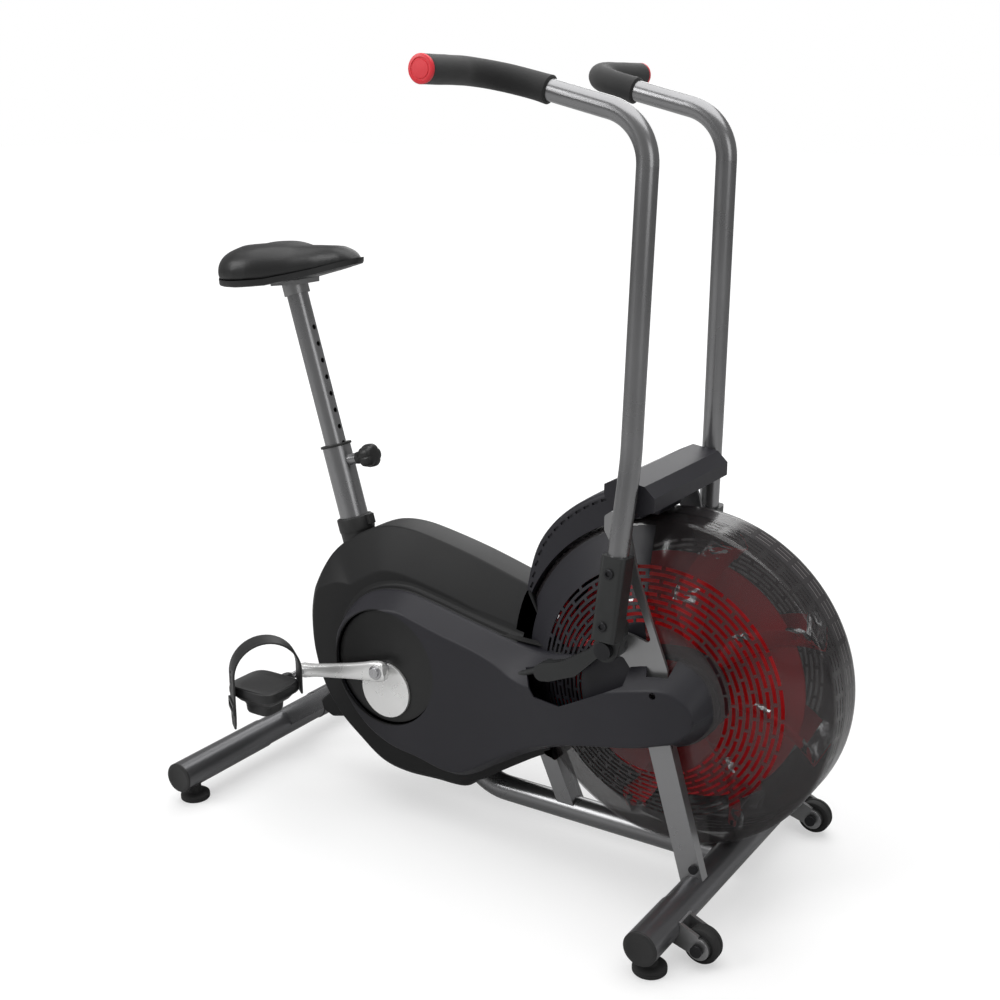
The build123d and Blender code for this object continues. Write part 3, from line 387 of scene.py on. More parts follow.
def outward(points):
    """Outward normal at each point of a closed (x, z) outline given as Vectors."""
    count = len(points)
    area = sum(points[i].x * points[(i + 1) % count].y - points[(i + 1) % count].x * points[i].y
               for i in range(count))
    sign = 1 if area > 0 else -1
    normals = []
    for i in range(count):
        way = points[(i + 1) % count] - points[i - 1]
        normals.append(Vector((way.y, -way.x)).normalized() * sign)
    return normals


# ---- Black body ----

def fan_arc(radius, start, end, steps):
    return [
        (FAN_X + radius * math.cos(math.radians(start + (end - start) * i / steps)),
         FAN_Z + radius * math.sin(math.radians(start + (end - start) * i / steps)))
        for i in range(steps + 1)
    ]


BODY_TOP = [
    (600, 158), (530, 110), (472, 70), (442, 50), (385, 47), (318, 44), (264, 54), (212, 88), (167, 125),
    (131, 176),
    (110, 240), (105, 300), (110, 345), (124, 388), (150, 429), (186, 460), (230, 485), (270, 499),
    (318, 502), (374, 494), (456, 476), (541, 452), (580, 441),
]
SPINE_HALF, BODY_HALF = 30.0, 58.0
SPINE_DROP = 74.0


def body_shell():
    """Pillow-shaped body: a flat spine, steep flanks and a broad rounded rim at the rear and below."""
    run = [Vector(p) for p in catmull(BODY_TOP, 6, closed=False)]
    run += [Vector(p) for p in fan_arc(269.5, 156, 222, 20)]
    normals = outward(run)
    sections = []
    for i, (point, normal) in enumerate(zip(run, normals)):
        front = math.hypot(point.x - FAN_X, point.y - FAN_Z) < 272
        top = smooth(normal.y, 0.25, 0.8) * (0 if front else 1)
        edge = 42 * (1 - top) + SPINE_HALF * top
        inset = 16 * (1 - top) + SPINE_DROP * top
        if front:
            edge, inset = 54, 2
        corner = point - normal * inset
        inner = point - normal * (inset + 6)
        flow = [
            at(point.x, 0, point.y),
            at(point.x, -edge, point.y),
            at(corner.x, -BODY_HALF, corner.y),
            at(inner.x, -BODY_HALF, inner.y),
        ]
        sections.append(rounded_run(flow, (14 * (1 - top) + 4 * top, 14), 4))
    rings = [[section[k] for section in sections] for k in range(len(sections[0]))]
    left = [[Vector((v.x, -v.y, v.z)) for v in ring] for ring in reversed(rings[1:])]
    shell = Builder()
    shell.rings([*left, *rings], True, True, True)
    return shell


PANEL_TOP = [
    ((196, 262, 72), (211, 268, 104)), ((200, 312, 72), (216, 310, 106)), ((222, 352, 72), (236, 343, 107)),
    ((256, 383, 74), (270, 362, 108)), ((298, 400, 75), (308, 374, 110)), ((345, 405, 75), (350, 379, 110)),
    ((400, 396, 75), (393, 369, 110)), ((460, 383, 76), (440, 357, 110)), ((520, 371, 78), (496, 345, 110)),
    ((575, 362, 82), (542, 332, 112)), ((620, 360, 88), (583, 315, 117)), ((662, 368, 96), (624, 312, 127)),
    ((712, 382, 102), (684, 322, 139)), ((770, 397, 106), (750, 340, 146)), ((830, 409, 110), (820, 360, 150)),
    ((880, 411, 110), (868, 370, 150)), ((916, 396, 108), (898, 360, 148)), ((934, 370, 106), (914, 347, 146)),
    ((941, 338, 104), (920, 330, 145)),
]
PANEL_LOW = [
    ((196, 262, 72), (211, 268, 104)), ((208, 210, 72), (221, 220, 104)), ((238, 165, 72), (249, 177, 104)),
    ((280, 131, 72), (287, 146, 106)), ((330, 110, 72), (334, 128, 108)), ((385, 102, 72), (386, 122, 110)),
    ((436, 88, 72), (440, 112, 110)), ((478, 98, 74), (482, 118, 110)), ((540, 138, 79), (545, 158, 112)),
    ((600, 176, 86), (604, 196, 119)), ((660, 206, 95), (662, 223, 132)), ((720, 228, 102), (718, 243, 144)),
    ((780, 243, 106), (774, 257, 149)), ((830, 254, 108), (824, 269, 150)), ((868, 264, 108), (856, 280, 150)),
    ((902, 278, 106), (886, 291, 148)), ((926, 300, 105), (906, 306, 147)), ((938, 320, 104), (916, 319, 146)),
    ((941, 338, 104), (920, 330, 145)),
]
PANEL_STEPS = 5
PANEL_ROWS = 10


def panel_builder():
    """Right-hand accent panel: a chamfered raised face that runs forward as the arm over the fan's axle."""
    def edge_pair(pairs):
        outer = catmull([(x, -y, z) for (x, z, y), _ in pairs], PANEL_STEPS, closed=False)
        inner = catmull([(x, -y, z) for _, (x, z, y) in pairs], PANEL_STEPS, closed=False)
        return outer, inner

    top_outer, top_inner = edge_pair(PANEL_TOP)
    low_outer, low_inner = edge_pair(PANEL_LOW)
    count = len(top_outer)

    def section(outer, inner, across):
        base = Vector((outer.x, -59.5, outer.z))
        toward = across - inner
        face = inner + toward * min(1.0, 9.0 / max(toward.length, 0.01)) * 0.9
        flow = [at(*base), at(*outer), at(*inner), at(*face)]
        return rounded_run(flow, (5, 13), 4)

    loop = []
    for i in range(count):
        loop.append(section(top_outer[i], top_inner[i], low_inner[i]))
    for i in range(count - 2, 0, -1):
        loop.append(section(low_outer[i], low_inner[i], top_inner[i]))
    rings = [[s[k] for s in loop] for k in range(len(loop[0]))]
    build = Builder()
    build.rings(rings)
    last = rings[-1]
    columns = [[last[0]]]
    for i in range(1, count - 1):
        high, low = last[i], last[-i]
        columns.append([high.lerp(low, r / PANEL_ROWS) for r in range(PANEL_ROWS + 1)])
    columns.append([last[count - 1]])
    starts = []
    for column in columns:
        starts.append(len(build.verts))
        build.verts.extend(column)
    for i in range(1, count - 2):
        a, b = starts[i], starts[i + 1]
        for r in range(PANEL_ROWS):
            build.faces.append((a + r, a + r + 1, b + r + 1, b + r))
    for tip, near in ((starts[0], starts[1]), (starts[-1], starts[-2])):
        for r in range(PANEL_ROWS):
            build.faces.append((tip, near + r, near + r + 1))
    return build


def plateau_builder():
    """Dark fillet that lifts the body's side up to the accent panel."""
    pairs = PANEL_TOP + PANEL_LOW[-2:0:-1]
    outer = [Vector(p) for p in catmull([(x, z) for (x, z, y), _ in pairs], 4)]
    depth = catmull([(y, 0) for (x, z, y), _ in pairs], 4)
    normals = outward(outer)
    loop = []
    for point, normal, deep in zip(outer, normals, depth):
        wide = point + normal * 16
        near = point + normal * 1.5
        inside = point - normal * 6
        flow = [
            at(wide.x, -57, wide.y), at(near.x, -60, near.y),
            at(near.x, -deep.x + 3, near.y), at(inside.x, -deep.x + 3, inside.y),
        ]
        loop.append(rounded_run(flow, (26, 4), 5))
    rings = [[s[k] for s in loop] for k in range(len(loop[0]))]
    return Builder().rings(rings)


def mirrored_copy(source, name):
    """A separate object, mirrored across the bike's middle plane."""
    mesh = source.data.copy()
    mesh.transform(Matrix.Scale(-1, 4, (0, 1, 0)))
    mesh.flip_normals()
    obj = bpy.data.objects.new(name, mesh)
    scene.collection.objects.link(obj)
    return obj


def y_rod(x, z, radius, y_low, y_high, segments=64):
    profile = [(0, radius), (y_high - y_low, radius)]
    return Builder().lathe(at(x, y_low, z), Vector((0, 1, 0)), profile, segments)


PANEL_WALL = 0.0028
DISC_HOLE_R = 104.5
LINK_SLOT = [(596, 346), (634, 299), (686, 299), (800, 362), (806, 430), (596, 430)]
LEVER_NOTCH = [(812, 440), (846, 352), (852, 344), (860, 350), (884, 440)]
FORK_SLOT = [(833, 200), (878, 200), (874, 300), (829, 300)]


def make_covers():
    shell = body_shell()
    lug = Builder().prism([(150, 170), (108, 131), (114, 112), (136, 104), (200, 120)], -30, 30)
    toe = Builder().prism([(438, 80), (446, 62), (470, 66), (500, 88), (492, 100)], -30, 30)
    fit(shell.make("body_shell", 30), "frame", "shroud_black", "shroud_left", "shroud_right")
    fit(bevelled(lug.make("rear_tube_cover"), 4), "frame", "shroud_black")
    fit(bevelled(toe.make("lower_lip"), 4), "frame", "shroud_black")

    right = panel_builder().make("accent_panel_trim_right", 30)
    thick = right.modifiers.new("wall", "SOLIDIFY")
    thick.thickness = PANEL_WALL
    thick.offset = -1
    apply_all(right)
    cuts = [
        y_rod(CRANK_X, CRANK_Z, DISC_HOLE_R, -130, -62, 128),
        Builder().prism(LINK_SLOT, -147, -104),
        Builder().prism(LEVER_NOTCH, -134, -100),
        y_rod(FAN_X + 21, FAN_Z + 23, 5.5, -170, -130, 32),
        Builder().prism(FORK_SLOT, -144, -120),
    ]
    carve(right, *cuts)
    right.data.shade_smooth()
    right.data.set_sharp_from_angle(angle=math.radians(32))
    left = mirrored_copy(right, "accent_panel_trim_left")
    fit(right, "frame", "panel_charcoal", "accent_panel_right")
    fit(left, "frame", "panel_charcoal", "accent_panel_left")

    plateau = plateau_builder().make("panel_fillet_right", 40)
    carve(plateau, y_rod(FAN_X, FAN_Z, 262, -90, -40, 128))
    other = mirrored_copy(plateau, "panel_fillet_left")
    fit(plateau, "frame", "shroud_black")
    fit(other, "frame", "shroud_black")
    for side, label in ((-1, "right"), (1, "left")):
        ring = Builder()
        turned = []
        for along, r in ((0, 105.7), (4, 105.7), (4, 103.9), (0, 103.9)):
            y = side * (108.6 - along)
            turned.append([
                at(CRANK_X + r * math.cos(a * math.tau / 96), y, CRANK_Z + r * math.sin(a * math.tau / 96))
                for a in range(96)
            ])
        turned.append(turned[0])
        ring.rings(turned)
        fit(ring.make(f"disc_surround_{label}"), "frame", "shroud_black")


# ---- Fender ----

FENDER_OUTER = [(572, 428), (576, 472), (592, 526), (620, 568), (656, 601), (698, 627), (742, 644), (772, 642)]


def make_fender():
    outer = [Vector(p) for p in catmull(FENDER_OUTER, 6, closed=False)]
    loops = []
    for point in outer:
        away = Vector((point.x - FAN_X, point.y - FAN_Z))
        inner = Vector((FAN_X, FAN_Z)) + away.normalized() * 268.5
        crown = point - away.normalized() * 2
        flow = [
            at(inner.x, -57, inner.y), at(crown.x, -55, crown.y), at(point.x, 0, point.y),
            at(crown.x, 55, crown.y), at(inner.x, 57, inner.y),
        ]
        loops.append(rounded_run(flow, (9, 40, 9), 5))
    band = Builder().rings(loops, True, True, True)
    obj = band.make("fan_fender_trim", 34)
    vents = Builder()
    count = 15
    for i in range(count):
        t = 5 + (len(outer) - 12) * i / (count - 1)
        k = int(t)
        point = outer[k].lerp(outer[k + 1], t - k)
        away = Vector((point.x - FAN_X, point.y - FAN_Z)).normalized()
        place = point - away * 13
        turn = Matrix.Rotation(-math.atan2(away.y, away.x), 3, "Y")
        for side in (-1, 1):
            vents.box(at(place.x, side * 57, place.y), 2.0, 4, 5.6, turn)
    carve(obj, vents)
    obj.data.shade_smooth()
    obj.data.set_sharp_from_angle(angle=math.radians(34))
    fit(obj, "frame", "panel_charcoal", "fan_fender")


# ---- Cage ----

CAGE_SECTION = [
    (266, 0), (266, 5), (266, 11), (266, 13.2), (266, 22), (266, 24.2), (266, 33), (266, 35.2), (265.6, 43),
    (264.4, 47.5),
    (261.6, 50.4), (257.5, 52.0), (250, 56), (240, 61.5), (228, 68.2), (216, 75.2), (206, 80.2),
]
SLOT_ROWS = 9
SLOT_INNER, SLOT_OUTER = 117.0, 203.0
RIM_SLOT_BANDS = {2, 4, 6}
SLOT_ANGLES = [-0.9, 0.9, 3.75, 6.6, 8.4, 11.25]
CELLS = 24
OPAQUE_FROM, OPAQUE_TO = 97.0, 214.0
RIM_SLOTS_FROM, RIM_SLOTS_TO = -118.0, 84.0


CLEAR, OPAQUE, FILM = 0, 1, 2


def cage_half(name, side, node):
    """One half of the cage: slotted rim, clear shoulder and rows of staggered slots in its face.

    The near half's slots are open. The far half's are closed with a dark film.
    """
    section = list(CAGE_SECTION)
    pitch = (SLOT_OUTER - SLOT_INNER) / SLOT_ROWS
    slot_bands = {}
    for row in range(SLOT_ROWS):
        outer = SLOT_OUTER - row * pitch
        for radius in (outer, outer - pitch * 0.52):
            section.append((radius, 80.2 + (206 - radius) * (112.5 - 80.2) / (206 - 117)))
        slot_bands[len(section) - 2] = row
    section += [(117, 112.5), (100, 113.2), (70, 113.4), (31, 113.4)]
    angles = []
    for cell in range(CELLS):
        angles += [cell * 15 + a for a in SLOT_ANGLES]
    size = len(angles)
    build = Builder()
    for radius, y in section:
        build.verts.extend(
            at(FAN_X + radius * math.cos(math.radians(a)), side * y, FAN_Z + radius * math.sin(math.radians(a)))
            for a in angles
        )
    marks = []
    for j in range(len(section) - 1):
        radius = (section[j][0] + section[j + 1][0]) / 2
        for i in range(size):
            phase = i % 6
            angle = (angles[i] + 2) % 360
            signed = angle - 360 if angle > 180 else angle
            slotted = False
            if j in slot_bands:
                slotted = phase != (3 if slot_bands[j] % 2 else 0)
            elif j in RIM_SLOT_BANDS:
                slotted = RIM_SLOTS_FROM < signed < RIM_SLOTS_TO and phase not in (0, 3)
            if slotted and side < 0:
                continue
            a, b = j * size + i, j * size + (i + 1) % size
            build.faces.append((a, b, b + size, a + size))
            mark = OPAQUE if OPAQUE_FROM < angle < OPAQUE_TO and radius < 257 else CLEAR
            marks.append(FILM if slotted else mark)
    mesh = bpy.data.meshes.new(name)
    mesh.from_pydata([tuple(v) for v in build.verts], [], build.faces)
    for polygon, mark in zip(mesh.polygons, marks):
        polygon.material_index = mark
    work = bmesh.new()
    work.from_mesh(mesh)
    bmesh.ops.recalc_face_normals(work, faces=work.faces)
    outside = sum(f.normal.dot(f.calc_center_median() - at(FAN_X, 0, FAN_Z)) for f in work.faces)
    if outside < 0:
        bmesh.ops.reverse_faces(work, faces=work.faces)
    loose = [v for v in work.verts if not v.link_faces]
    bmesh.ops.delete(work, geom=loose, context="VERTS")
    work.to_mesh(mesh)
    work.free()
    mesh.shade_smooth()
    obj = bpy.data.objects.new(name, mesh)
    scene.collection.objects.link(obj)
    mesh.materials.append(finish["cage_smoke" if side < 0 else "cage_far"])
    mesh.materials.append(finish["panel_charcoal"])
    mesh.materials.append(finish["cage_slot"])
    wall = obj.modifiers.new("wall", "SOLIDIFY")
    wall.thickness = 0.0022
    wall.offset = -1
    apply_all(obj)
    obj.data.set_sharp_from_angle(angle=math.radians(40))
    fit(obj, "frame", "cage_smoke", node)


def make_cage():
    cage_half("cage_shell_right", -1, "cage_right")
    cage_half("cage_shell_left", 1, "cage_left")


# ---- Fan ----

BLADES = 8
FIRST_BLADE = 21.0


def scoop(y):
    """How far a blade's edge leans out of its plane, by distance from the web."""
    return 38 * (min(abs(y), 41) / 41) ** 1.6


def make_fan():
    wheel = Builder()
    wheel.lathe(at(FAN_X, -1.4, FAN_Z), Vector((0, 1, 0)), [(0, 24), (0, 204), (2.8, 204), (2.8, 24)], 96)
    for k in range(BLADES):
        base = math.radians(FIRST_BLADE + k * 360 / BLADES)
        rings = []
        for i in range(15):
            r = 58 + 188 * i / 14
            bend = math.radians(7) * math.sin(math.pi * (r - 58) / 192)
            half = 41 - 9 * smooth(r, 225, 250) - 6 * (1 - smooth(r, 58, 90))
            ring = []
            for y in [half * m / 4 for m in range(-4, 5)]:
                angle = base + bend
                spot = Vector((r * math.cos(angle), 0, r * math.sin(angle)))
                normal = Vector((-math.sin(angle), 0, math.cos(angle)))
                spot += normal * scoop(y) * smooth(r, 50, 130)
                ring.append((spot, normal, y))
            front = [at(FAN_X + s.x + n.x, y, FAN_Z + s.z + n.z) for s, n, y in ring]
            back = [at(FAN_X + s.x - n.x, y, FAN_Z + s.z - n.z) for s, n, y in reversed(ring)]
            rings.append([*front, *back])
        wheel.rings(rings, True, True, True)
    fit(wheel.make("fan_wheel", 40), "fan", "fan_red", "fan_blades")

    foil = Builder()
    for k in range(BLADES):
        for which, radius in enumerate((147, 232)):
            base = math.radians(FIRST_BLADE + k * 360 / BLADES)
            rings = []
            for i in range(11):
                r = radius - 13 + 26 * i / 10
                bend = math.radians(7) * math.sin(math.pi * (r - 58) / 192)
                angle = base + bend
                ring = []
                for m in range(28):
                    turn = math.tau * m / 28
                    y = 46 * math.copysign(abs(math.cos(turn)) ** 0.4, math.cos(turn))
                    up = 4.2 * math.copysign(abs(math.sin(turn)) ** 0.6, math.sin(turn)) + 3
                    seed = Vector((r * 0.11, y * 0.09, k * 7 + which * 3 + turn))
                    crinkle = noise.noise(seed) * 3.4 + noise.noise(seed * 2.3) * 1.6
                    up += crinkle + scoop(y) * smooth(r, 50, 130)
                    spot = Vector((r * math.cos(angle), 0, r * math.sin(angle)))
                    spot += Vector((-math.sin(angle), 0, math.cos(angle))) * up
                    ring.append(at(FAN_X + spot.x, y + crinkle * 0.4, FAN_Z + spot.z))
                rings.append(ring)
            foil.rings(rings, True, True, True)
    clips = foil.make("blade_foil_clips", 25)
    fit(clips, "fan", "chrome", "blade_clips")


# ---- Crank side pieces ----

def superellipse(half_a, half_b, power, count):
    points = []
    for i in range(count):
        t = math.tau * i / count
        points.append((
            half_a * math.copysign(abs(math.cos(t)) ** (2 / power), math.cos(t)),
            half_b * math.copysign(abs(math.sin(t)) ** (2 / power), math.sin(t)),
        ))
    return points


PEDAL_RINGS = [
    (0.02, 0.02, 12.6), (0.3, 0.3, 12.6), (0.6, 0.6, 12.8), (0.85, 0.85, 13.6), (0.92, 0.92, 15.0),
    (0.98, 0.98, 13.4),
    (1.0, 1.0, 8.0),
    (1.0, 1.0, 1.5), (0.985, 0.985, -2.0), (0.93, 0.93, -3.4), (0.86, 0.86, -4.0), (0.82, 0.80, -9.0),
    (0.74, 0.70, -14.0), (0.60, 0.62, -16.5), (0.52, 0.56, -22.0), (0.50, 0.54, -33.0), (0.46, 0.50, -37.5),
    (0.40, 0.44, -38.0), (0.02, 0.02, -38.0),
]


def strap_path(centre):
    """The strap's line: up the outer rear, over the foot and down the inner front."""
    across = Vector((35.0, 46.0 * -math.copysign(1, centre.y), 0))
    points = []
    reach = across.length
    for z in (-58, -46, -34, -20, -5, 10, 24):
        points.append(centre - across + Vector((0, 0, z)))
    for i in range(0, 25):
        turn = math.pi * i / 24
        points.append(centre - across * math.cos(turn) + Vector((0, 0, 36 + reach * math.sin(turn))))
    for z in (24, 8, -6):
        points.append(centre + across + Vector((0, 0, z)))
    return points, across.normalized()


def make_pedal(side, label):
    low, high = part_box(f"pedal_{label}")
    low, high = Vector(low), Vector(high)
    x = (layout_x(low) + layout_x(high)) / 2
    z = high.z * 1000 - 15
    y = side * 230.0
    outline = superellipse(51.5, 45.5, 4.6, 64)
    rings = [[at(x + a * sa, y + b * sb, z + dz) for a, b in outline] for sa, sb, dz in PEDAL_RINGS]
    body = Builder().rings(rings, True, True, True)
    neck_start = side * (230 - 40)
    neck = [(-8, 11), (18, 11), (24, 10), (28, 8.5), (28, 6.4)]
    body.lathe(at(x, neck_start, z), Vector((0, -side, 0)), neck, 32)
    pedal = bevelled(body.make(f"pedal_platform_{label}", 40), 0.7)
    fit(pedal, f"{label}_pedal", "pedal_black", f"pedal_{label}")

    centre = Vector((x + (5 if side < 0 else -5), y, z))
    points, across = strap_path(centre)
    wide = across.cross(Vector((0, 0, 1))).normalized()
    rings = []
    count = len(points)
    for i, point in enumerate(points):
        way = (points[min(i + 1, count - 1)] - points[max(i - 1, 0)]).normalized()
        out = way.cross(wide).normalized()
        half = 20.5
        if i == 0:
            half = 13
        elif i == 1:
            half = 19
        ring = []
        for a, b in ((-half, -1.2), (-half + 1.5, -1.8), (half - 1.5, -1.8), (half, -1.2), (half, 1.2),
                     (half - 1.5, 1.8), (-half + 1.5, 1.8), (-half, 1.2)):
            spot = point + wide * a + out * b
            ring.append(at(*spot))
        rings.append(ring)
    strap = Builder().rings(rings, True, True, True).make(f"toe_strap_{label}", 50)
    holes = Builder()
    outer_side = points[0] + Vector((0, 0, 58))
    for dz in (-44, 22, 32, 42):
        holes.lathe(at(*(outer_side + Vector((0, 0, dz)) - across * 6)), across, [(0, 2.6), (12, 2.6)], 16)
    carve(strap, holes)
    fit(strap, f"{label}_pedal", "strap_black", f"pedal_strap_{label}")
    buckle = Builder()
    turn = Matrix.Rotation(math.atan2(across.y, across.x), 3, "Z")
    for dz in (-12, -26):
        buckle.box(at(*(outer_side + Vector((0, 0, dz)) - across * 2.6)), 2.0, 23.5, 3.0, turn)
    for dy in (-22.5, 22.5):
        buckle.box(at(*(outer_side + wide * dy + Vector((0, 0, -19)) - across * 2.6)), 2.0, 2.0, 9.0, turn)
    fit(bevelled(buckle.make(f"strap_buckle_{label}"), 0.8), f"{label}_pedal", "pedal_black")


def make_crank():
    for side, label, sign in ((-1, "right", -1), (1, "left", 1)):
        droop = math.radians(12)
        end = Vector((CRANK_X + sign * 170 * math.cos(droop), 0, CRANK_Z + sign * 170 * math.sin(droop)))
        start = Vector((CRANK_X, 0, CRANK_Z))
        along = (end - start).normalized()
        up = Vector((-along.z, 0, along.x))
        rings = []
        stations = [(-17, 10), (-15.5, 14.5), (-10, 17.5), (0, 18.6), (14, 17.8), (30, 16), (60, 14),
                    (100, 12.5),
                    (140, 11.5), (158, 12.5), (168, 13.4), (176, 12), (181, 8), (183, 4)]
        for s, half in stations:
            ring = []
            for a, b in superellipse(half, 7.4, 3.4, 24):
                spot = start + along * s + up * a
                ring.append(at(spot.x, side * (118 + 7.5) + b, spot.z))
            rings.append(ring)
        arm = Builder().rings(rings, True, True, True)
        obj = arm.make(f"crank_arm_{label}", 50)
        fit(obj, "crank", "polished_alloy", *(("crank_arms",) if side < 0 else ()))
        cap = Builder().lathe(
            at(start.x, side * 133.4, start.z), Vector((0, side, 0)),
            [(-2, 12.5), (0.6, 12.5), (1.5, 11.6), (1.9, 9), (0.9, 8.2), (0.7, 0)], 40,
        )
        fit(cap.make(f"crank_bolt_cover_{label}", 35), "crank", "steel")


# ---- Handles ----

def fillet_line(points, radius, steps=14):
    """Straight runs with the middle corner turned on an arc of the given radius."""
    before, corner, after = points
    a, b = (before - corner).normalized(), (after - corner).normalized()
    half = a.angle(b) / 2
    cut = radius / math.tan(half)
    centre = corner + (a + b).normalized() * (radius / math.sin(half))
    start, end = corner + a * cut, corner + b * cut
    line = [before.lerp(start, i / 4) for i in range(4)]
    from_c, to_c = (start - centre), (end - centre)
    turn = from_c.angle(to_c)
    axis = from_c.cross(to_c).normalized()
    for i in range(steps + 1):
        line.append(centre + Matrix.Rotation(turn * i / steps, 3, axis) @ from_c)
    line += [end.lerp(after, i / 16) for i in range(1, 17)]
    return line


def round_sweep(line, radius_at, segments=40, bore=None):
    """Rings of a round section along a line, held without twist."""
    rings = []
    side = None
    count = len(line)
    for i, point in enumerate(line):
        way = (line[min(i + 1, count - 1)] - line[max(i - 1, 0)]).normalized()
        if side is None:
            side = way.orthogonal().normalized()
        side = (side - way * side.dot(way)).normalized()
        other = way.cross(side)
        ring = []
        for m in range(segments):
            turn = math.tau * m / segments
            r = radius_at(i / (count - 1), turn)
            ring.append(point + (side * math.cos(turn) + other * math.sin(turn)) * r)
        rings.append(ring)
    return rings


GRIP_POINTS = [(657.5, 130.8, 1226.7), (556.0, 132.0, 1252.0), (567.0, 313.0, 1253.0)]


def make_grips():
    line = fillet_line([Vector(p) for p in GRIP_POINTS], 80)
    profile_ends = [
        (0, 17.4), (0.004, 19.2), (0.012, 20.4), (0.03, 20.6), (0.1, 20.0), (0.97, 19.8), (0.99, 19.2),
        (1, 18.2),
    ]

    def radius_at(t, turn):
        lump = noise.noise(Vector((t * 9, math.cos(turn) * 1.2, math.sin(turn) * 1.2))) * 0.35
        return lerp_table(profile_ends, t) + lump

    extra = [line[0].lerp(line[1], f) for f in (0.0, 0.4)]
    steps = extra + line[1:-1] + [line[-2].lerp(line[-1], f) for f in (0.6, 0.9, 1.0)]
    rings = round_sweep(steps, radius_at)
    inner = round_sweep(steps, lambda t, turn: 16.15)
    for side, label in ((1, "left"), (-1, "right")):
        def place(ring):
            return [at(v.x, side * v.y, v.z) for v in ring]
        shell = [place(r) for r in rings]
        core = [place(r) for r in reversed(inner)]
        grip = Builder().rings([*shell, *core, shell[0]])
        obj = fit(grip.make(f"foam_grip_{label}", 45), f"{label}_handle", "grip_foam", f"grip_{label}")
        end = Vector(GRIP_POINTS[2])
        way = (Vector(GRIP_POINTS[2]) - Vector(GRIP_POINTS[1])).normalized()
        centre = at(end.x, side * end.y, end.z)
        axis = Vector((way.x, side * way.y, way.z))
        cap = Builder().lathe(
            centre, axis,
            [(-8, 13.5), (-0.5, 13.5), (-0.5, 19.6), (2.6, 20.0), (4.2, 19.2), (4.9, 17.6), (5.0, 15.2),
             (4.0, 14.6),
             (4.0, 12.6), (5.0, 12.0), (5.3, 0)], 56,
        )
        fit(cap.make(f"grip_end_{label}", 35), f"{label}_handle", "cap_red", f"grip_cap_{label}")


def make_sockets():
    """Bolt heads on the handle sockets."""
    for side, label in ((-1, "right"), (1, "left")):
        bolts = Builder()
        for z in (470, 550):
            y_out = 142 + (171 - 142) * (716 - z) / (716 - 452) + 19.2
            x = 788 + (z - 452) * 16 / 264
            bolts.lathe(
                at(x - 2, side * y_out, z), Vector((0, side, 0)),
                [(-3, 7.6), (2.2, 7.6), (3.4, 6.6), (3.6, 4.0), (1.2, 3.6), (1.2, 0)], 32,
            )
        fit(bolts.make(f"socket_bolts_{label}", 35), f"{label}_handle", "bolt_black")


# ---- Small round pieces ----

def make_base_details():
    caps = Builder()
    for node, half in (("rear_stabilizer", 294.0), ("front_stabilizer", 319.0)):
        spot = middle(node)
        for side in (-1, 1):
            caps.lathe(
                Vector((spot.x, side * half / 1000, spot.z)), Vector((0, side, 0)),
                [(-10, 23.2), (-0.2, 23.2), (-0.2, 26.7), (1.4, 26.9), (2.4, 26.2), (2.9, 24.6), (3.0, 20),
                 (2.2, 18.6),
                 (2.2, 0)], 56,
            )
    fit(caps.make("tube_end_caps", 35), "frame", "cap_black", "stabilizer_end_caps")

    feet = Builder()
    for x, y in ((0, 258), (930, 286)):
        for side in (-1, 1):
            feet.lathe(
                at(x, side * y, 0), Vector((0, 0, 1)),
                [(0, 22.5), (0.6, 24.6), (2, 25.8), (5, 26), (6.2, 25.2), (7, 25.2), (8, 26), (10.4, 25.4),
                 (12, 23.4), (13, 19), (14, 13), (16, 11.4), (30, 11)], 48,
            )
    fit(feet.make("levelling_feet", 30), "frame", "rubber_black", "rubber_feet")

    for side, label in ((-1, "right"), (1, "left")):
        spot = middle(f"wheel_{label}")
        tyre = Builder().lathe(
            spot + Vector((0, -0.012, 0)), Vector((0, 1, 0)),
            [(1.5, 4.2), (1.5, 11), (0, 12), (0, 17), (2, 18.5), (0.6, 20), (0.4, 24.5), (1.6, 26.8),
             (4, 27.8), (8.4, 28),
             (9, 27), (15, 27), (15.6, 28), (20, 27.8), (22.4, 26.8), (23.6, 24.5), (23.4, 20), (22, 18.5),
             (24, 17),
             (24, 12), (22.5, 11), (22.5, 4.2)], 56, capped=False,
        )
        fit(tyre.make(f"transport_wheel_{label}", 32), f"{label}_wheel", "rubber_black", f"wheel_{label}")


def make_knob():
    start = mast_point(592)
    side = Vector((0, 1, 0))
    other = MAST_FRONT.cross(side)
    rings = []
    profile = [
        (20.6, 5.0, 0), (42, 5.0, 0), (42.5, 11, 0), (54, 11, 0), (56, 13, 0.2), (57.5, 17, 0.7),
        (59.5, 19.8, 1),
        (64, 21.2, 1), (72, 21.2, 1), (78, 20.4, 1), (81.5, 18, 1), (83, 13, 0.5), (83.3, 7, 0.1),
        (83.4, 0.1, 0),
    ]
    for along, radius, lobes in profile:
        ring = []
        for m in range(90):
            turn = math.tau * m / 90
            r = radius * (1 - 0.15 * lobes * (1 - abs(math.cos(2.5 * turn)) ** 0.7))
            ring.append(start + MAST_FRONT * (along / 1000)
                        + (side * math.cos(turn) + other * math.sin(turn)) * (r / 1000))
        rings.append(ring)
    knob = Builder().rings(rings, True, True, True)
    fit(knob.make("seat_knob", 45), "seat_knob", "knob_black", "adjuster_knob")


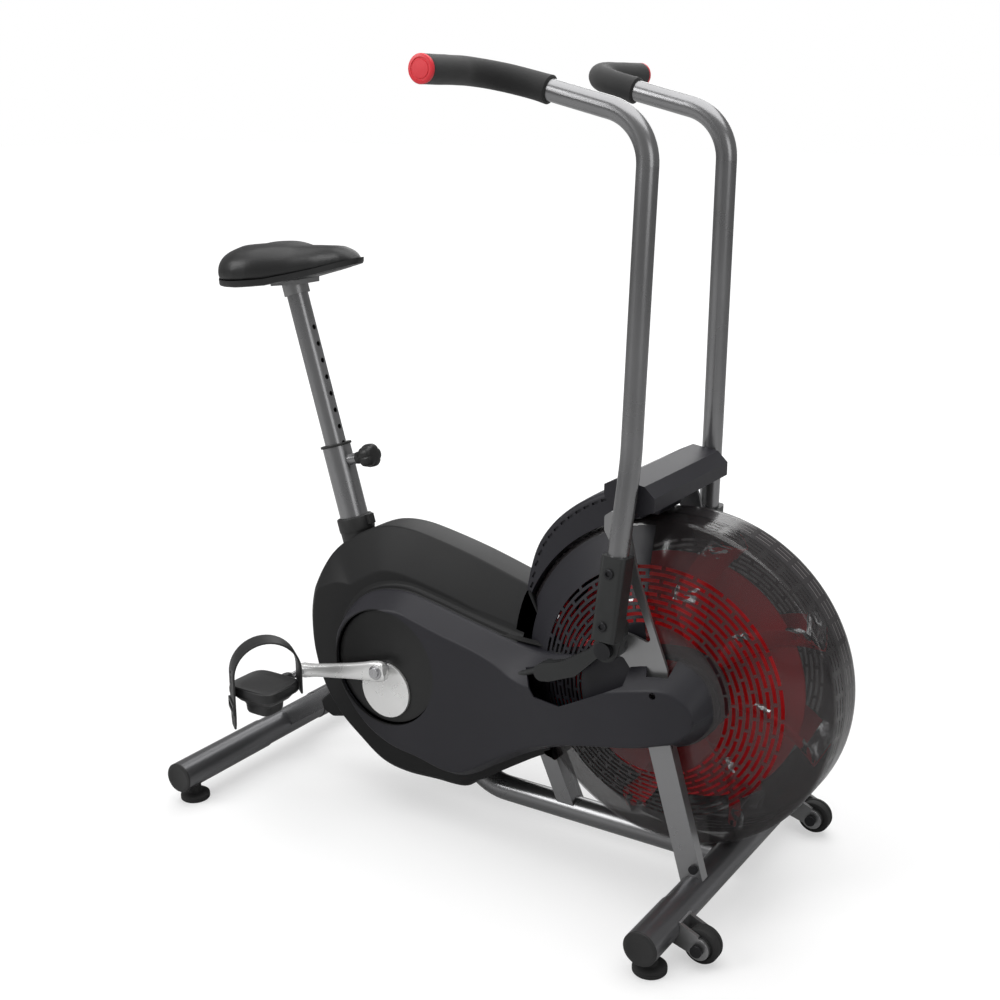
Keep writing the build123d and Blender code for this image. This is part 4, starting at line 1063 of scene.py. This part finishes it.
def make_collar():
    collar = Builder().lathe(
        mast_point(404), MAST_WAY,
        [(0, 27.4), (20, 30.5), (66, 31), (69, 31.4), (70, 32), (72, 32.4), (92, 32.4), (94, 31.8), (95, 30),
         (95, 26.2), (0, 26.2)], 64, capped=False,
    )
    lug = mast_point(486) + MAST_FRONT * 0.033
    turn = Matrix.Rotation(-MAST_LEAN, 3, "Y")
    collar.box(lug, 7, 7, 9, turn)
    fit(bevelled(collar.make("mast_gaiter", 40), 1.6), "frame", "cap_black", "mast_collar")


# ---- Saddle ----

SADDLE_WIDTH = [
    (-88, 13), (-82, 33), (-70, 57), (-55, 77), (-34, 92), (-8, 99), (26, 93), (58, 75), (92, 55), (130, 40),
    (178, 30.5), (198, 23), (207, 14), (211, 6),
]
SADDLE_TOP = [
    (-93.5, 922), (-85, 938), (-67, 952), (-50, 961), (-13, 971), (29, 974), (52, 974), (88, 970), (120, 972),
    (170, 973.5), (190, 970), (200, 963), (207, 956), (211, 949),
]
SADDLE_LOW = [
    (-93.5, 905), (-60, 897), (0, 900), (50, 905), (90, 914), (140, 926), (180, 937), (211, 945),
]


def saddle_rings(shrink):
    rings = []
    count = 34
    for i in range(count + 1):
        t = i / count
        x = -88 + shrink + (299 - 2 * shrink) * (0.5 - 0.5 * math.cos(math.pi * t))
        w = lerp_table(SADDLE_WIDTH, x) - shrink
        top = lerp_table(SADDLE_TOP, x) - shrink
        low = lerp_table(SADDLE_LOW, x) + 3
        waist = low + (top - low) * 0.34
        ring = []
        for m in range(44):
            turn = math.tau * m / 44
            c, s = math.cos(turn), math.sin(turn)
            y = w * math.copysign(abs(c) ** 0.72, c)
            if s >= 0:
                z = waist + (top - waist) * abs(s) ** 0.82
                dish = 5.5 * smooth(-x, -60, 40) * math.exp(-(y / 26) ** 2) * s
                z -= dish
            else:
                z = waist - (waist - low) * abs(s) ** 0.35
                y *= 1 - 0.10 * abs(s)
            ring.append(at(x, y, z))
        rings.append(ring)
    return rings


def puff(obj, voxel, pressure, cap):
    """Swells a closed pad as cloth under pressure, moving no point further than the cap."""
    remesh = obj.modifiers.new("remesh", "REMESH")
    remesh.mode = "VOXEL"
    remesh.voxel_size = voxel
    apply_all(obj)
    relax = obj.modifiers.new("relax", "SMOOTH")
    relax.factor = 0.5
    relax.iterations = 6
    apply_all(obj)
    rest = [v.co.copy() for v in obj.data.vertices]
    cloth = obj.modifiers.new("cloth", "CLOTH")
    cloth.settings.quality = 6
    cloth.settings.use_pressure = True
    cloth.settings.uniform_pressure_force = pressure
    cloth.settings.tension_stiffness = 30
    cloth.settings.compression_stiffness = 30
    cloth.settings.effector_weights.gravity = 0
    cloth.point_cache.frame_start, cloth.point_cache.frame_end = 1, 20
    for step in range(1, 21):
        scene.frame_set(step)
    seen = obj.evaluated_get(bpy.context.evaluated_depsgraph_get())
    mesh = bpy.data.meshes.new_from_object(seen)
    obj.modifiers.clear()
    scene.frame_set(1)
    obj.data = mesh
    for vertex, old in zip(mesh.vertices, rest):
        move = vertex.co - old
        if move.length > cap:
            vertex.co = old + move.normalized() * cap
    relax = obj.modifiers.new("relax", "SMOOTH")
    relax.factor = 0.5
    relax.iterations = 5
    apply_all(obj)
    obj.data.shade_smooth()


def make_saddle():
    cushion = Builder().rings(saddle_rings(2.4), True, True, True).make("saddle_cushion", 180)
    puff(cushion, 0.005, 4.0, 0.003)
    even = cushion.modifiers.new("even", "SUBSURF")
    even.levels = even.render_levels = 1
    apply_all(cushion)
    cushion.data.shade_smooth()
    fit(cushion, "seat", "saddle_vinyl", "saddle")

    pan = Builder()
    count = 40
    rims = []
    half_line = []
    for i in range(count + 1):
        t = i / count
        x = -88 + 299 * (0.5 - 0.5 * math.cos(math.pi * t))
        half_line.append((x, lerp_table(SADDLE_WIDTH, x) * 0.955 if 0 < i < count else 0.0))
    loop = half_line + [(x, -y) for x, y in reversed(half_line[1:-1])]
    for inset, lift in ((2, 12), (2.5, 5), (4, 1.6), (8, 0.4), (12, 0), (20, 0)):
        ring = []
        for x, y in loop:
            pull = 1 - inset / 100
            cx = 30 + (x - 30) * (1 - inset / 160)
            ring.append(at(cx, y * pull, lerp_table(SADDLE_LOW, x) + lift))
        rims.append(ring)
    pan.rings(rims, True, False, True)
    fit(pan.make("saddle_pan", 35), "seat", "saddle_vinyl")


# ---- Room ----

def make_room():
    corners = [Vector((x, y, 0)) for x, y in ((-30, -30), (30, -30), (30, 30), (-30, 30))]
    floor = blank("floor", corners, [(0, 1, 2, 3)])
    mat = surface("floor_paint", (0.5, 0.5, 0.5), 0.65, 0, 0.01, 60, 0.01, 1.5, specular=0.1)
    shader = mat.node_tree.nodes["Principled BSDF"]
    shader.inputs["Emission Color"].default_value = (1, 1, 1, 1)
    seen = mat.node_tree.nodes.new("ShaderNodeLightPath")
    place = mat.node_tree.nodes.new("ShaderNodeTexCoord")
    reach = mat.node_tree.nodes.new("ShaderNodeVectorMath")
    reach.operation = "LENGTH"
    rise = mat.node_tree.nodes.new("ShaderNodeMapRange")
    rise.inputs["From Min"].default_value = 1.2
    rise.inputs["From Max"].default_value = 6.0
    rise.inputs["To Min"].default_value = 0.5
    rise.inputs["To Max"].default_value = 0.95
    glow = mat.node_tree.nodes.new("ShaderNodeMath")
    glow.operation = "MULTIPLY"
    mat.node_tree.links.new(place.outputs["Object"], reach.inputs[0])
    mat.node_tree.links.new(reach.outputs["Value"], rise.inputs["Value"])
    mat.node_tree.links.new(seen.outputs["Is Camera Ray"], glow.inputs[0])
    mat.node_tree.links.new(rise.outputs["Result"], glow.inputs[1])
    mat.node_tree.links.new(glow.outputs["Value"], shader.inputs["Emission Strength"])
    floor.data.materials.append(mat)

    def lamp(name, place, size, power, aim=(0, 0, 0.5), size_y=None):
        data = bpy.data.lights.new(name, "AREA")
        data.shape = "RECTANGLE"
        data.size = size
        data.size_y = size_y or size
        data.energy = power
        obj = bpy.data.objects.new(name, data)
        scene.collection.objects.link(obj)
        obj.location = place
        obj.rotation_mode = "QUATERNION"
        obj.rotation_quaternion = (Vector(aim) - Vector(place)).to_track_quat("-Z", "Y")

    lamp("top_soft", (0.2, 0.2, 4.2), 5.0, 170)
    lamp("key_soft", (-2.6, -3.4, 2.9), 2.2, 95)
    lamp("fill_soft", (3.6, -1.6, 1.8), 2.0, 18)
    lamp("rear_soft", (-1.5, 3.8, 2.6), 2.6, 45)

    world = bpy.data.worlds.new("studio")
    scene.world = world
    world.use_nodes = True
    tree = world.node_tree
    backdrop = tree.nodes["Background"]
    backdrop.inputs["Color"].default_value = (1, 1, 1, 1)
    backdrop.inputs["Strength"].default_value = 0.28
    bright = tree.nodes.new("ShaderNodeBackground")
    bright.inputs["Color"].default_value = (1, 1, 1, 1)
    bright.inputs["Strength"].default_value = 1.0
    path = tree.nodes.new("ShaderNodeLightPath")
    mix = tree.nodes.new("ShaderNodeMixShader")
    tree.links.new(path.outputs["Is Camera Ray"], mix.inputs["Fac"])
    tree.links.new(backdrop.outputs[0], mix.inputs[1])
    tree.links.new(bright.outputs[0], mix.inputs[2])
    tree.links.new(mix.outputs[0], tree.nodes["World Output"].inputs["Surface"])
    scene.view_settings.view_transform = "Standard"


make_covers()
make_fender()
make_cage()
make_fan()
for side, label in ((-1, "right"), (1, "left")):
    make_pedal(side, label)
make_crank()
make_grips()
make_sockets()
make_base_details()
make_knob()
make_collar()
make_saddle()
for node, width in (
    ("console_housing", 3.0), ("console_bracket", 2.0), ("upright_plates", 1.0), ("wheel_brackets", 1.2),
    ("handle_lever_left", 1.8), ("handle_lever_right", 1.8), ("fork_legs", 2.0), ("front_strut", 2.0),
    ("rear_neck", 2.0), ("crank_discs", 1.2), ("eccentric_caps", 0.8), ("frame_bolts", 0.8),
    ("console_button", 0.8), ("mast_bushing", 1.2), ("saddle_clamp", 1.2),
):
    soften(node, width)
make_room()
